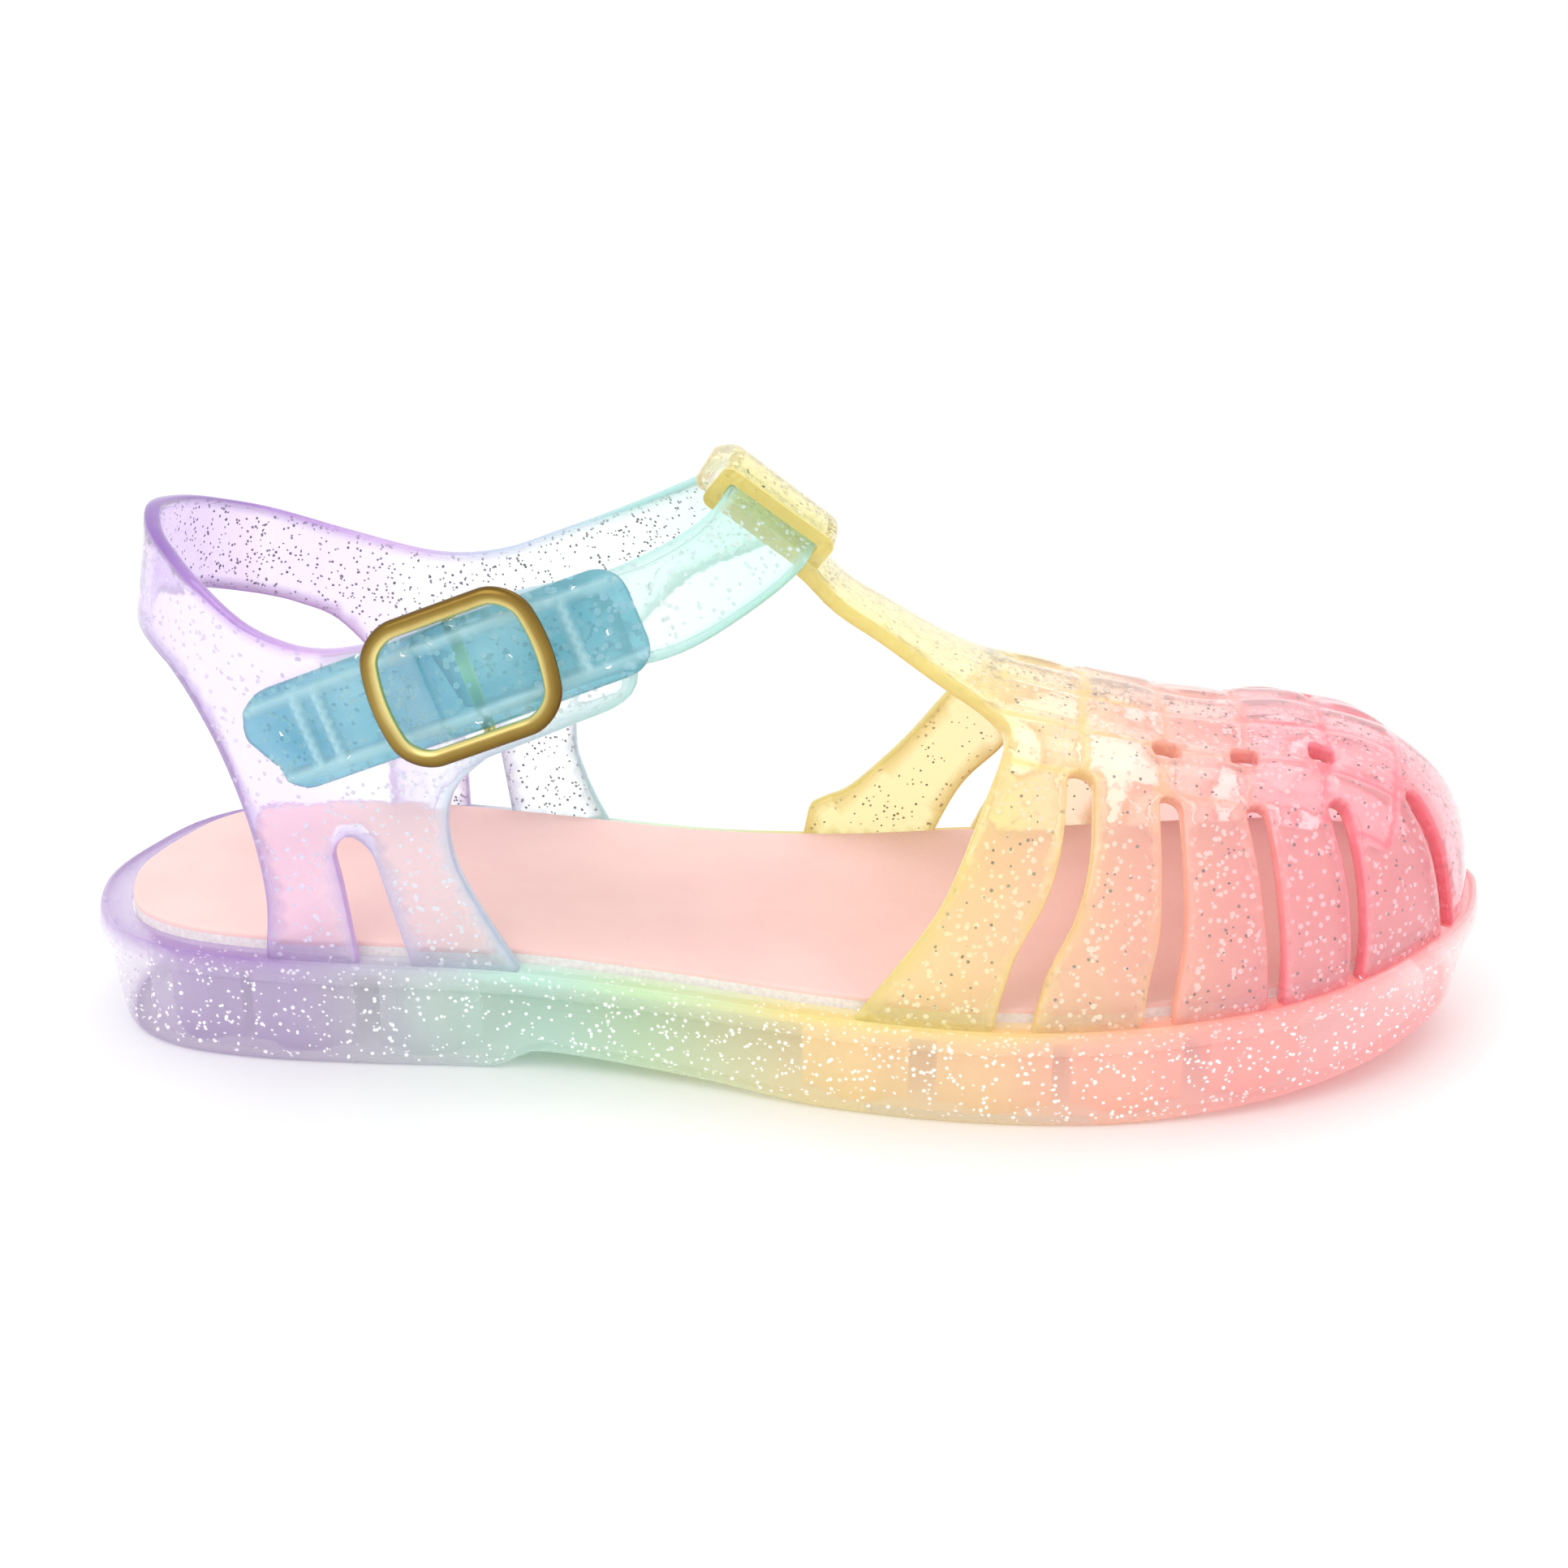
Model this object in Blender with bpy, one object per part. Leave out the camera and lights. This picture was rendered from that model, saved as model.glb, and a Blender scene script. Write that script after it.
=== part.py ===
"""Child's jelly sandal, right foot: moulded clear sole, woven toe cage with a T-bar,
heel band with quarters and ankle strap, closed by a threaded buckle strap.
X runs to the toe, Y to the inner side of the foot, Z up. Metres."""
import bpy
import bmesh
from math import pi, sin, cos
import numpy as np
from mathutils import Matrix, Vector
from mathutils.geometry import delaunay_2d_cdt

# Driving sizes
SOLE_LENGTH = 0.190
SOLE_WIDTH = 0.0698
HEEL_HEIGHT = 0.0165
BREAST_STEP = 0.0028
TOE_SPRING = 0.0065
DECK_THICKNESS = 0.0030
SKIRT_THICKNESS = 0.0024
SKIRT_DRAFT = 0.0030
RIM_HEIGHT = 0.0030
RIM_LIP = 0.0004
RIM_LEDGE = 0.0046
DECK_RECESS = 0.0012
FOOT_ROUND = 0.0006
INSOLE_THICKNESS = 0.0028
WALL = 0.0021
STRAP_WIDTH = 0.0127
GAP = 0.0003
EDGE_ROUND = 0.0004
CAGE_INSET = 0.0019
SLEEVE_WALL = 0.0018
SLEEVE_LENGTH = 0.0140
SLEEVE_ROUND = 0.0014
STRIP_WIDTH = 0.0130
STRIP_THICKNESS = 0.0019
STRIP_CORNER = 0.0033
BUCKLE_LENGTH = 0.0206
BUCKLE_HEIGHT = 0.0186
BUCKLE_BAR = 0.0022
BUCKLE_CORNER = 0.0034
BUCKLE_BOW = 0.0016
BUCKLE_SHARE = 0.585
PIN_RADIUS = 0.0008
CHART_STEP = 0.0038
WEAVE_STEP = 0.0028
WEAVE_LIFT = 0.0007

# Plan of the sole: share of length, outer-side share of width, inner-side share of width
OUTLINE = [
    (0.000, 0.020, 0.080), (0.012, 0.140, 0.199), (0.035, 0.226, 0.337), (0.075, 0.288, 0.437),
    (0.135, 0.321, 0.494), (0.210, 0.332, 0.499), (0.320, 0.338, 0.461), (0.430, 0.388, 0.418),
    (0.530, 0.456, 0.423), (0.630, 0.499, 0.466), (0.730, 0.494, 0.494), (0.830, 0.434, 0.499),
    (0.905, 0.335, 0.458), (0.955, 0.220, 0.370), (0.985, 0.112, 0.262), (1.000, -0.020, 0.110)]
# Rim line: share of length, share of heel height
RIM = [(0.0, 1.00), (0.1, 0.97), (0.3, 0.925), (0.5, 0.865), (0.65, 0.85), (0.76, 0.89),
       (0.85, 0.97), (0.95, 1.12), (1.0, 1.21)]
# Lifts of the underside: share of length, share of breast step, share of toe spring
UNDERSIDE = [(0.0, 0.0, 0.0), (0.300, 0.0, 0.0), (0.335, 1.0, 0.0), (0.43, 0.62, 0.0),
             (0.56, 0.0, 0.0), (0.72, 0.0, 0.0), (0.80, 0.0, 0.13), (0.90, 0.0, 0.46),
             (1.0, 0.0, 1.0)]
# Ridge of the last under cage and T-bar: share of length, share of sole length as height
RIDGE = [(0.500, 0.374), (0.516, 0.358), (0.527, 0.347), (0.542, 0.3305), (0.576, 0.3084),
         (0.616, 0.2842), (0.656, 0.2674), (0.70, 0.2558), (0.75, 0.2442), (0.80, 0.2357),
         (0.86, 0.2337)]
FAN_SHARE = 0.816
FAN_Y = 0.002
SIDE_POWER = 2.2
TOE_POWER = 2.5


def smooth(x, xs, ys):
    """Monotone cubic through a table."""
    xs = np.asarray(xs, float)
    ys = np.asarray(ys, float)
    x = np.asarray(x, float)
    h = np.diff(xs)
    d = np.diff(ys) / h
    m = np.zeros(len(xs))
    m[0], m[-1] = d[0], d[-1]
    for i in range(1, len(xs) - 1):
        if d[i - 1] * d[i] > 0:
            a = 2 * h[i] + h[i - 1]
            b = h[i] + 2 * h[i - 1]
            m[i] = (a + b) / (a / d[i - 1] + b / d[i])
    k = np.clip(np.searchsorted(xs, x) - 1, 0, len(xs) - 2)
    t = np.clip((x - xs[k]) / h[k], 0, 1)
    return ((2 * t**3 - 3 * t**2 + 1) * ys[k] + (t**3 - 2 * t**2 + t) * h[k] * m[k]
            + (3 * t**2 - 2 * t**3) * ys[k + 1] + (t**3 - t**2) * h[k] * m[k + 1])


def run(points, steps):
    """Open Catmull-Rom curve through points, evenly stepped between them."""
    p = np.asarray(points, float)
    q = np.vstack([2 * p[0] - p[1], p, 2 * p[-1] - p[-2]])
    out = []
    for i in range(len(p) - 1):
        a, b, c, d = q[i], q[i + 1], q[i + 2], q[i + 3]
        for t in np.linspace(0, 1, steps, endpoint=False):
            out.append(0.5 * (2 * b + (c - a) * t + (2 * a - 5 * b + 4 * c - d) * t**2
                              + (3 * b - 3 * c + d - a) * t**3))
    out.append(p[-1])
    return np.array(out)


def even(points, step, closed=False):
    """Same curve with points one step apart."""
    p = np.asarray(points, float)
    if closed:
        p = np.vstack([p, p[:1]])
    d = np.concatenate([[0], np.cumsum(np.linalg.norm(np.diff(p, axis=0), axis=1))])
    n = max(2, int(round(d[-1] / step)))
    t = np.linspace(0, d[-1], n + 1)
    out = np.stack([np.interp(t, d, p[:, k]) for k in range(p.shape[1])], 1)
    return out[:-1] if closed else out


def sole_outline():
    low = [((s - 0.5), -a) for s, a, b in OUTLINE]
    up = [((s - 0.5), b) for s, a, b in OUTLINE]
    size = np.array([SOLE_LENGTH, SOLE_WIDTH])
    pts = np.array(low + up[::-1]) * size
    wrap = np.vstack([pts[-3:], pts, pts[:4]])
    c = even(run(wrap, 16)[3 * 16:-3 * 16], 0.0009)[:-1]
    lo, hi = c.min(0), c.max(0)
    return (c - (lo + hi) / 2) * size / (hi - lo)


def inset(loop, d):
    t = np.roll(loop, -2, 0) - np.roll(loop, 2, 0)
    t = t / np.linalg.norm(t, axis=1)[:, None]
    return loop + np.stack([-t[:, 1], t[:, 0]], 1) * d


PLAN = sole_outline()


def half_rows(d, us):
    """x, outer-side y and inner-side y of the plan inset by d, at shares of its length."""
    c = inset(PLAN, d)
    c = np.roll(c, -int(np.argmin(c[:, 0])), 0)
    k = int(np.argmax(c[:, 0]))
    low = c[:k + 1]
    up = np.vstack([c[k:], c[:1]])[::-1]
    x = c[0, 0] + (c[k, 0] - c[0, 0]) * np.asarray(us, float)
    rows = []
    for side in (low, up):
        grow = np.maximum.accumulate(side[:, 0])
        keep = np.concatenate([[True], np.diff(grow) > 1e-9])
        rows.append(np.interp(x, side[keep, 0], side[keep, 1]))
    return x, rows[0], rows[1]


def share(x):
    return np.clip(np.asarray(x, float) / SOLE_LENGTH + 0.5, 0, 1)


def rim_z(x):
    return smooth(share(x), [r[0] for r in RIM], [r[1] for r in RIM]) * HEEL_HEIGHT


def floor_z(x):
    s = [r[0] for r in UNDERSIDE]
    return (smooth(share(x), s, [r[1] for r in UNDERSIDE]) * BREAST_STEP
            + smooth(share(x), s, [r[2] for r in UNDERSIDE]) * TOE_SPRING)


def side_y(x, d, side):
    us = (np.asarray(x, float) + SOLE_LENGTH / 2 - d) / (SOLE_LENGTH - 2 * d)
    _, a, b = half_rows(d, np.clip(us, 0, 1))
    return a if side < 0 else b


def mesh_object(name, verts, faces):
    mesh = bpy.data.meshes.new(name)
    mesh.from_pydata([tuple(map(float, v)) for v in verts], [], [tuple(map(int, f)) for f in faces])
    mesh.validate()
    bm = bmesh.new()
    bm.from_mesh(mesh)
    bmesh.ops.remove_doubles(bm, verts=bm.verts, dist=0.00001)
    bmesh.ops.recalc_face_normals(bm, faces=bm.faces)
    bm.to_mesh(mesh)
    bm.free()
    obj = bpy.data.objects.new(name, mesh)
    return obj


def loft(name, profile, us):
    """Closed body from rings round the plan: profile rows are (inset, height function)."""
    n = len(us)
    verts = []
    for d, height in profile:
        x, low, up = half_rows(d, us)
        z = height(x)
        ring = [(x[i], low[i], z[i]) for i in range(n)]
        ring += [(x[i], up[i], z[i]) for i in range(n - 2, 0, -1)]
        verts += ring
    m = 2 * n - 2
    faces = []
    for r in range(len(profile) - 1):
        for i in range(m):
            j = (i + 1) % m
            faces.append((r * m + i, r * m + j, (r + 1) * m + j, (r + 1) * m + i))
    for base, flip in ((0, False), ((len(profile) - 1) * m, True)):
        for i in range(n - 1):
            quad = [i, i + 1, (m - i - 1) % m, (m - i) % m]
            quad = [q for k, q in enumerate(quad) if q not in quad[:k]]
            face = [base + q for q in quad]
            faces.append(tuple(face[::-1] if flip else face))
    return mesh_object(name, verts, faces)


def inside(points, loop):
    x, y = points[:, 0], points[:, 1]
    a = loop
    b = np.roll(loop, -1, 0)
    hit = np.zeros(len(points), bool)
    for (x0, y0), (x1, y1) in zip(a, b):
        if y0 == y1:
            continue
        cross = ((y0 > y) != (y1 > y)) & (x < (x1 - x0) * (y - y0) / (y1 - y0) + x0)
        hit ^= cross
    return hit


def edge_distance(points, loops):
    best = np.full(len(points), 9.0)
    for loop in loops:
        a = loop
        b = np.roll(loop, -1, 0)
        for p, q in zip(a, b):
            e = q - p
            t = np.clip(((points - p) @ e) / max(e @ e, 1e-18), 0, 1)
            best = np.minimum(best, np.linalg.norm(points - p - t[:, None] * e, axis=1))
    return best


def hex_grid(lo, hi, step):
    grid = []
    for k, y in enumerate(np.arange(lo[1], hi[1], step * 0.87)):
        xs = np.arange(lo[0] + (step / 2 if k % 2 else 0), hi[0], step)
        grid.append(np.stack([xs, np.full(len(xs), y)], 1))
    return np.vstack(grid)


def fill_chart(outer, holes, step, fine=None, fine_step=None):
    """Triangles over a flat region: outer loop less the holes, which may cross its edge.
    Inside the box fine, given by two corners, points stand fine_step apart."""
    grid = hex_grid(outer.min(0), outer.max(0), step)
    if fine is not None:
        lo, hi = np.array(fine[0]), np.array(fine[1])
        grid = grid[~np.all((grid > lo) & (grid < hi), axis=1)]
        grid = np.vstack([grid, hex_grid(lo + fine_step / 2, hi, fine_step)])
    keep = inside(grid, outer)
    for h in holes:
        keep &= ~inside(grid, h)
    grid = grid[keep]
    grid = grid[edge_distance(grid, [outer] + list(holes)) > 0.55 * step]
    pts, edges = [], []
    for loop in [outer] + list(holes):
        k = len(pts)
        pts += [tuple(p) for p in loop]
        edges += [(k + i, k + (i + 1) % len(loop)) for i in range(len(loop))]
    pts += [tuple(p) for p in grid]
    out = delaunay_2d_cdt([Vector((p[0] * 100, p[1] * 100)) for p in pts], edges, [], 0, 1e-5)
    verts = np.array([(v.x, v.y) for v in out[0]]) / 100
    tris = np.array([tuple(f) for f in out[2] if len(f) == 3])
    mid = verts[tris].mean(1)
    keep = inside(mid, outer)
    for h in holes:
        keep &= ~inside(mid, h)
    area = (verts[tris[:, 1]] - verts[tris[:, 0]])
    other = (verts[tris[:, 2]] - verts[tris[:, 0]])
    area = area[:, 0] * other[:, 1] - area[:, 1] * other[:, 0]
    keep &= np.abs(area) > 1e-10
    tris = tris[keep]
    area = area[keep]
    tris[area < 0] = tris[area < 0][:, ::-1]
    used = np.unique(tris)
    index = np.full(len(verts), -1)
    index[used] = np.arange(len(used))
    return verts[used], index[tris]


def shell(name, chart, tris, surface, thickness, relief=None, rounds=1):
    """Wall over a chart: surface gives the outer face, the wall lies inside it."""
    p = surface(chart[:, 0], chart[:, 1])
    h = 0.0002
    du = surface(chart[:, 0] + h, chart[:, 1]) - surface(chart[:, 0] - h, chart[:, 1])
    dv = surface(chart[:, 0], chart[:, 1] + h) - surface(chart[:, 0], chart[:, 1] - h)
    nrm = np.cross(du, dv)
    nrm /= np.linalg.norm(nrm, axis=1)[:, None]
    lift = relief(chart) if relief is not None else 0.0
    outer = p + nrm * np.reshape(lift, (-1, 1))
    inner = p - nrm * thickness
    n = len(p)
    count = {}
    for t in tris:
        for a, b in ((t[0], t[1]), (t[1], t[2]), (t[2], t[0])):
            count[(a, b)] = count.get((a, b), 0) + 1
    rim = [(a, b) for (a, b) in count if (b, a) not in count]
    side = {}
    for a, b in rim:
        e = outer[b] - outer[a]
        e = e / np.linalg.norm(e)
        for k in (a, b):
            side[k] = side.get(k, np.zeros(3)) + np.cross(e, nrm[k])
    order = sorted(side)
    verts = [tuple(v) for v in outer] + [tuple(v) for v in inner]
    ring = {k: [k] for k in order}
    for r in range(1, rounds + 1):
        ang = pi * r / (rounds + 1)
        for k in order:
            out = side[k] / max(np.linalg.norm(side[k]), 1e-9)
            mid = (outer[k] + inner[k]) / 2
            half = (outer[k] - inner[k]) / 2
            ring[k].append(len(verts))
            verts.append(tuple(mid + half * cos(ang) + out * EDGE_ROUND * sin(ang)))
    for k in order:
        ring[k].append(n + k)
    faces = [tuple(t) for t in tris] + [tuple(n + t[::-1]) for t in tris]
    for a, b in rim:
        for r in range(rounds + 1):
            faces.append((ring[b][r], ring[a][r], ring[a][r + 1], ring[b][r + 1]))
    return mesh_object(name, verts, faces)


# Sole and insole

STATIONS = (1 - np.cos(np.linspace(0, pi, 41))) / 2


def sole_profile():
    """Rings from the deck over the lip and down the skirt: inset, height."""
    skirt = SKIRT_DRAFT + FOOT_ROUND
    under = DECK_RECESS + DECK_THICKNESS
    return [
        (RIM_LEDGE, lambda x: rim_z(x) - DECK_RECESS),
        (RIM_LEDGE, lambda x: rim_z(x)),
        (CAGE_INSET - 1.5 * RIM_LIP, lambda x: rim_z(x)),
        (CAGE_INSET - 2.5 * RIM_LIP, lambda x: rim_z(x) + RIM_LIP),
        (RIM_LIP, lambda x: rim_z(x) + RIM_LIP / 2),
        (0.0, lambda x: rim_z(x) - 0.25 * RIM_HEIGHT),
        (0.0, lambda x: rim_z(x) - 0.80 * RIM_HEIGHT),
        (0.25 * SKIRT_DRAFT, lambda x: rim_z(x) - RIM_HEIGHT),
        (SKIRT_DRAFT - FOOT_ROUND, lambda x: floor_z(x) + 2.3 * FOOT_ROUND),
        (SKIRT_DRAFT, lambda x: floor_z(x) + FOOT_ROUND / 1.5),
        (skirt, lambda x: floor_z(x)),
        (skirt + SKIRT_THICKNESS, lambda x: floor_z(x)),
        (1.5 * SKIRT_THICKNESS, lambda x: rim_z(x) - under - FOOT_ROUND),
        (2.0 * SKIRT_THICKNESS, lambda x: rim_z(x) - under)]


# Lugs: share of length at back and front edge of each cross bar
LUGS = [(0.047, 0.117), (0.125, 0.200), (0.218, 0.290), (0.520, 0.593), (0.612, 0.690),
        (0.703, 0.779), (0.798, 0.862)]
LUG_SET_BACK = 0.0085
LUG_BUMP = 0.0024


def lug(name, s0, s1):
    """Cross bar under the deck with a rounded nose on each side."""
    xs = np.linspace((s0 - 0.5) * SOLE_LENGTH, (s1 - 0.5) * SOLE_LENGTH, 7)
    low = side_y(xs, LUG_SET_BACK, -1)
    up = side_y(xs, LUG_SET_BACK, 1)
    nose = np.array([0, 0, 0.8, 1, 0.8, 0, 0]) * LUG_BUMP
    loop = list(zip(xs, low - nose)) + list(zip(xs[::-1], (up + nose)[::-1]))
    n = len(loop)
    top = [(x, y, rim_z(x) - DECK_RECESS - DECK_THICKNESS / 2) for x, y in loop]
    bottom = [(x, y, floor_z(x)) for x, y in loop]
    faces = [(i, (i + 1) % n, n + (i + 1) % n, n + i) for i in range(n)]
    h = n // 2
    for base in (0, n):
        faces += [(base + i, base + i + 1, base + n - 2 - i, base + n - 1 - i) for i in range(h - 1)]
    return mesh_object(name, top + bottom, faces)


# Toe cage on the last

ARC = 48


def ridge_z(x):
    return smooth(share(x), [r[0] for r in RIDGE], [r[1] for r in RIDGE]) * SOLE_LENGTH


FAN_X = (FAN_SHARE - 0.5) * SOLE_LENGTH
FOOT_LIFT = GAP + EDGE_ROUND


def last_rays(u, v):
    """Origin, direction, radius, foot and top heights, power and reach for chart points."""
    u = np.asarray(u, float)
    v = np.asarray(v, float)
    body = u <= FAN_X
    oy = np.interp(u, [0.0, 0.030, FAN_X], [-0.0005, 0.0005, FAN_Y])
    side = np.where(v >= 0, 1.0, -1.0)
    us = np.maximum(u, -0.02)
    foot = np.where(side > 0, side_y(us, CAGE_INSET, 1), side_y(us, CAGE_INSET, -1))
    loop = inset(PLAN, CAGE_INSET)
    w = loop - np.array([FAN_X, FAN_Y])
    ang = np.arctan2(w[:, 1], w[:, 0])
    k = np.argsort(ang)
    al = np.arctan2(v, u - FAN_X)
    radius = np.interp(al, ang[k], np.linalg.norm(w, axis=1)[k])
    a = np.where(body, np.abs(foot - oy), radius)
    ex = np.where(body, 0.0, np.cos(al))
    ey = np.where(body, side, np.sin(al))
    ox = np.where(body, u, FAN_X)
    oy = np.where(body, oy, FAN_Y)
    reach = np.where(body, np.abs(v), np.hypot(u - FAN_X, v))
    foot_z = rim_z(ox + ex * a) + FOOT_LIFT
    top = np.where(body, ridge_z(us), ridge_z(FAN_X))
    power = np.where(body, SIDE_POWER, SIDE_POWER + (TOE_POWER - SIDE_POWER) * np.maximum(ex, 0))
    return ox, oy, ex, ey, a, foot_z, top - foot_z, power, reach


def last_surface(u, v):
    """Chart (u along the foot, v across from the ridge, true length) to the outer face."""
    ox, oy, ex, ey, a, foot_z, high, power, reach = last_rays(u, v)
    out = np.zeros((len(a), 3))
    f = np.linspace(0, pi / 2, ARC + 1)
    s = np.sin(f)[None, :] ** (2 / power[:, None])
    c = np.cos(f)[None, :] ** (2 / power[:, None])
    step = np.hypot(np.diff(s, axis=1) * a[:, None], np.diff(c, axis=1) * high[:, None])
    arc = np.concatenate([np.zeros((len(a), 1)), np.cumsum(step, axis=1)], axis=1)
    for i in range(len(a)):
        ss = np.interp(reach[i], arc[i], s[i])
        cc = np.interp(reach[i], arc[i], c[i])
        over = max(0.0, reach[i] - arc[i, -1])
        out[i] = (ox[i] + ex[i] * a[i] * ss, oy[i] + ey[i] * a[i] * ss,
                  foot_z[i] + high[i] * cc - over)
    return out


def foot_reach(u, v):
    """Chart length from the ridge to the foot in the direction of a chart point."""
    ox, oy, ex, ey, a, foot_z, high, power, reach = last_rays(u, v)
    f = np.linspace(0, pi / 2, ARC + 1)
    s = np.sin(f)[None, :] ** (2 / power[:, None])
    c = np.cos(f)[None, :] ** (2 / power[:, None])
    return np.hypot(np.diff(s, axis=1) * a[:, None], np.diff(c, axis=1) * high[:, None]).sum(1)


def foot_line(side, u0):
    """Chart points along the foot of the cage from u0 forward to the toe."""
    pts = []
    for u in np.linspace(u0, FAN_X, 16):
        pts.append((u, side * float(foot_reach([u], [side * 0.01])[0])))
    for al in np.linspace(pi / 2, 0, 24)[1:]:
        q = (FAN_X + 0.01 * cos(al), side * 0.01 * sin(al))
        r = float(foot_reach([q[0]], [q[1]])[0])
        pts.append((FAN_X + r * cos(al), side * r * sin(al)))
    return pts


# Cage outline and slots, shares of sole length (u from mid length, v across from the ridge)
T_BAR_EDGE = [(0.018, 0.036), (0.042, 0.036), (0.074, 0.040), (0.110, 0.050), (0.140, 0.064),
              (0.1545, 0.082), (0.1530, 0.106), (0.1430, 0.140), (0.1350, 0.165),
              (0.1210, 0.205), (0.1080, 0.235), (0.0840, 0.280), (0.0560, 0.330)]
# The inner-side ribs stand further back on the rim
INNER_SET_BACK = 0.038
SLOTS = [
    [(0.2032, 0.114), (0.2000, 0.163), (0.1900, 0.205), (0.1690, 0.255), (0.1500, 0.345)],
    [(0.2629, 0.118), (0.2640, 0.203), (0.2580, 0.250), (0.2520, 0.330)],
    [(0.3210, 0.116), (0.3340, 0.180), (0.3440, 0.228), (0.3520, 0.300)],
    [(0.3815, 0.101), (0.4130, 0.160), (0.4310, 0.192), (0.4560, 0.255)],
    [(0.4450, 0.060), (0.4830, 0.080), (0.5130, 0.091), (0.5560, 0.098)]]
SLOT_WIDTHS = [0.0040, 0.0034, 0.0034, 0.0036, 0.0036]
SLOT_FLARE = 1.35
WINDOWS = [(0.2618, 0.0708), (0.3150, 0.0680), (0.3695, 0.0548)]
WINDOW_SIZE = (0.0040, 0.0034)


def skewed(points, side):
    p = np.array(points, float)
    if side > 0:
        reach = np.clip(p[:, 1] / 0.28, 0, 1.2) ** 1.3
        p[:, 0] -= INNER_SET_BACK * reach * np.clip(1 - (p[:, 0] - 0.16) / 0.16, 0, 1)
    return p


# Weave on top of the cage: grooves between ribs along the ridge, edges of the long strips
# across it, as shares of length
GROOVES = [0.150, 0.210, 0.264, 0.320, 0.376, 0.430]
GROOVE_LEAN = -0.10
STRIPS = [-0.112, -0.069, -0.023, 0.023, 0.069, 0.112]


def weave(chart):
    """Height of the raised strips: at each crossing one strip lies over the other."""
    u = chart[:, 0] / SOLE_LENGTH - GROOVE_LEAN * np.abs(chart[:, 1]) / SOLE_LENGTH * 0.5
    v = chart[:, 1] / SOLE_LENGTH
    i = np.clip(np.searchsorted(GROOVES, u) - 1, 0, len(GROOVES) - 2)
    j = np.clip(np.searchsorted(STRIPS, v) - 1, 0, len(STRIPS) - 2)
    g = np.array(GROOVES)
    b = np.array(STRIPS)
    a = np.clip((u - g[i]) / (g[i + 1] - g[i]), 0, 1) * 2 - 1
    c = np.clip((v - b[j]) / (b[j + 1] - b[j]), 0, 1) * 2 - 1
    over = (i + j) % 2 == 0
    flat = lambda q: np.clip((1 - np.abs(q)) / 0.16, 0, 1)
    arch = lambda q: np.cos(q * pi / 2 * 0.92) ** 0.8
    lift = np.where(over, flat(a) * arch(c), flat(c) * arch(a))
    span = (u > g[0]) & (u < g[-1]) & (np.abs(v) < b[-1])
    return WEAVE_LIFT * lift * span


def ribbon_loop(points, width, flare, side):
    """Closed loop round a centre line with a round head."""
    c = run(skewed(points, side) * SOLE_LENGTH, 6)
    t = np.gradient(c, axis=0)
    t /= np.linalg.norm(t, axis=1)[:, None]
    nrm = np.stack([-t[:, 1], t[:, 0]], 1)
    w = width / 2 * np.linspace(1, flare, len(c))[:, None]
    head = [c[0] + nrm[0] * w[0] * sin(a) - t[0] * w[0] * cos(a)
            for a in np.linspace(-pi / 2, pi / 2, 7)[1:-1]]
    loop = np.vstack([(c + nrm * w), (c - nrm * w)[::-1], head])
    loop[:, 1] *= side
    return even(loop, CHART_STEP * 0.72, True)


def window_loop(u, v, side):
    a, b = WINDOW_SIZE[0] / 2, WINDOW_SIZE[1] / 2
    loop = [(u * SOLE_LENGTH + a * np.sign(cos(t)) * abs(cos(t)) ** 0.6,
             side * (v * SOLE_LENGTH + b * np.sign(sin(t)) * abs(sin(t)) ** 0.6))
            for t in np.linspace(0, 2 * pi, 10, endpoint=False) + 0.3]
    return np.array(loop)


def cage_regions(step):
    loops = {}
    for side in (-1, 1):
        edge = run(skewed(T_BAR_EDGE, side) * SOLE_LENGTH, 6)
        last = edge[-1]
        e = edge[:-1] * np.array([1, side])
        r = float(foot_reach([last[0]], [side * 0.01])[0])
        e = e[np.abs(e[:, 1]) < r - 0.002]
        e = np.vstack([e, [(last[0], side * r)]])
        loops[side] = np.vstack([e, foot_line(side, last[0])[1:]])
    loop = np.vstack([loops[-1], loops[1][::-1][1:]])
    outer = even(loop, step * 0.8, True)
    holes = []
    for side in (-1, 1):
        for pts, w in zip(SLOTS, SLOT_WIDTHS):
            holes.append(ribbon_loop(pts, w, SLOT_FLARE, side))
        for u, v in WINDOWS:
            holes.append(window_loop(u, v, side))
    return outer, holes


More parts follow.
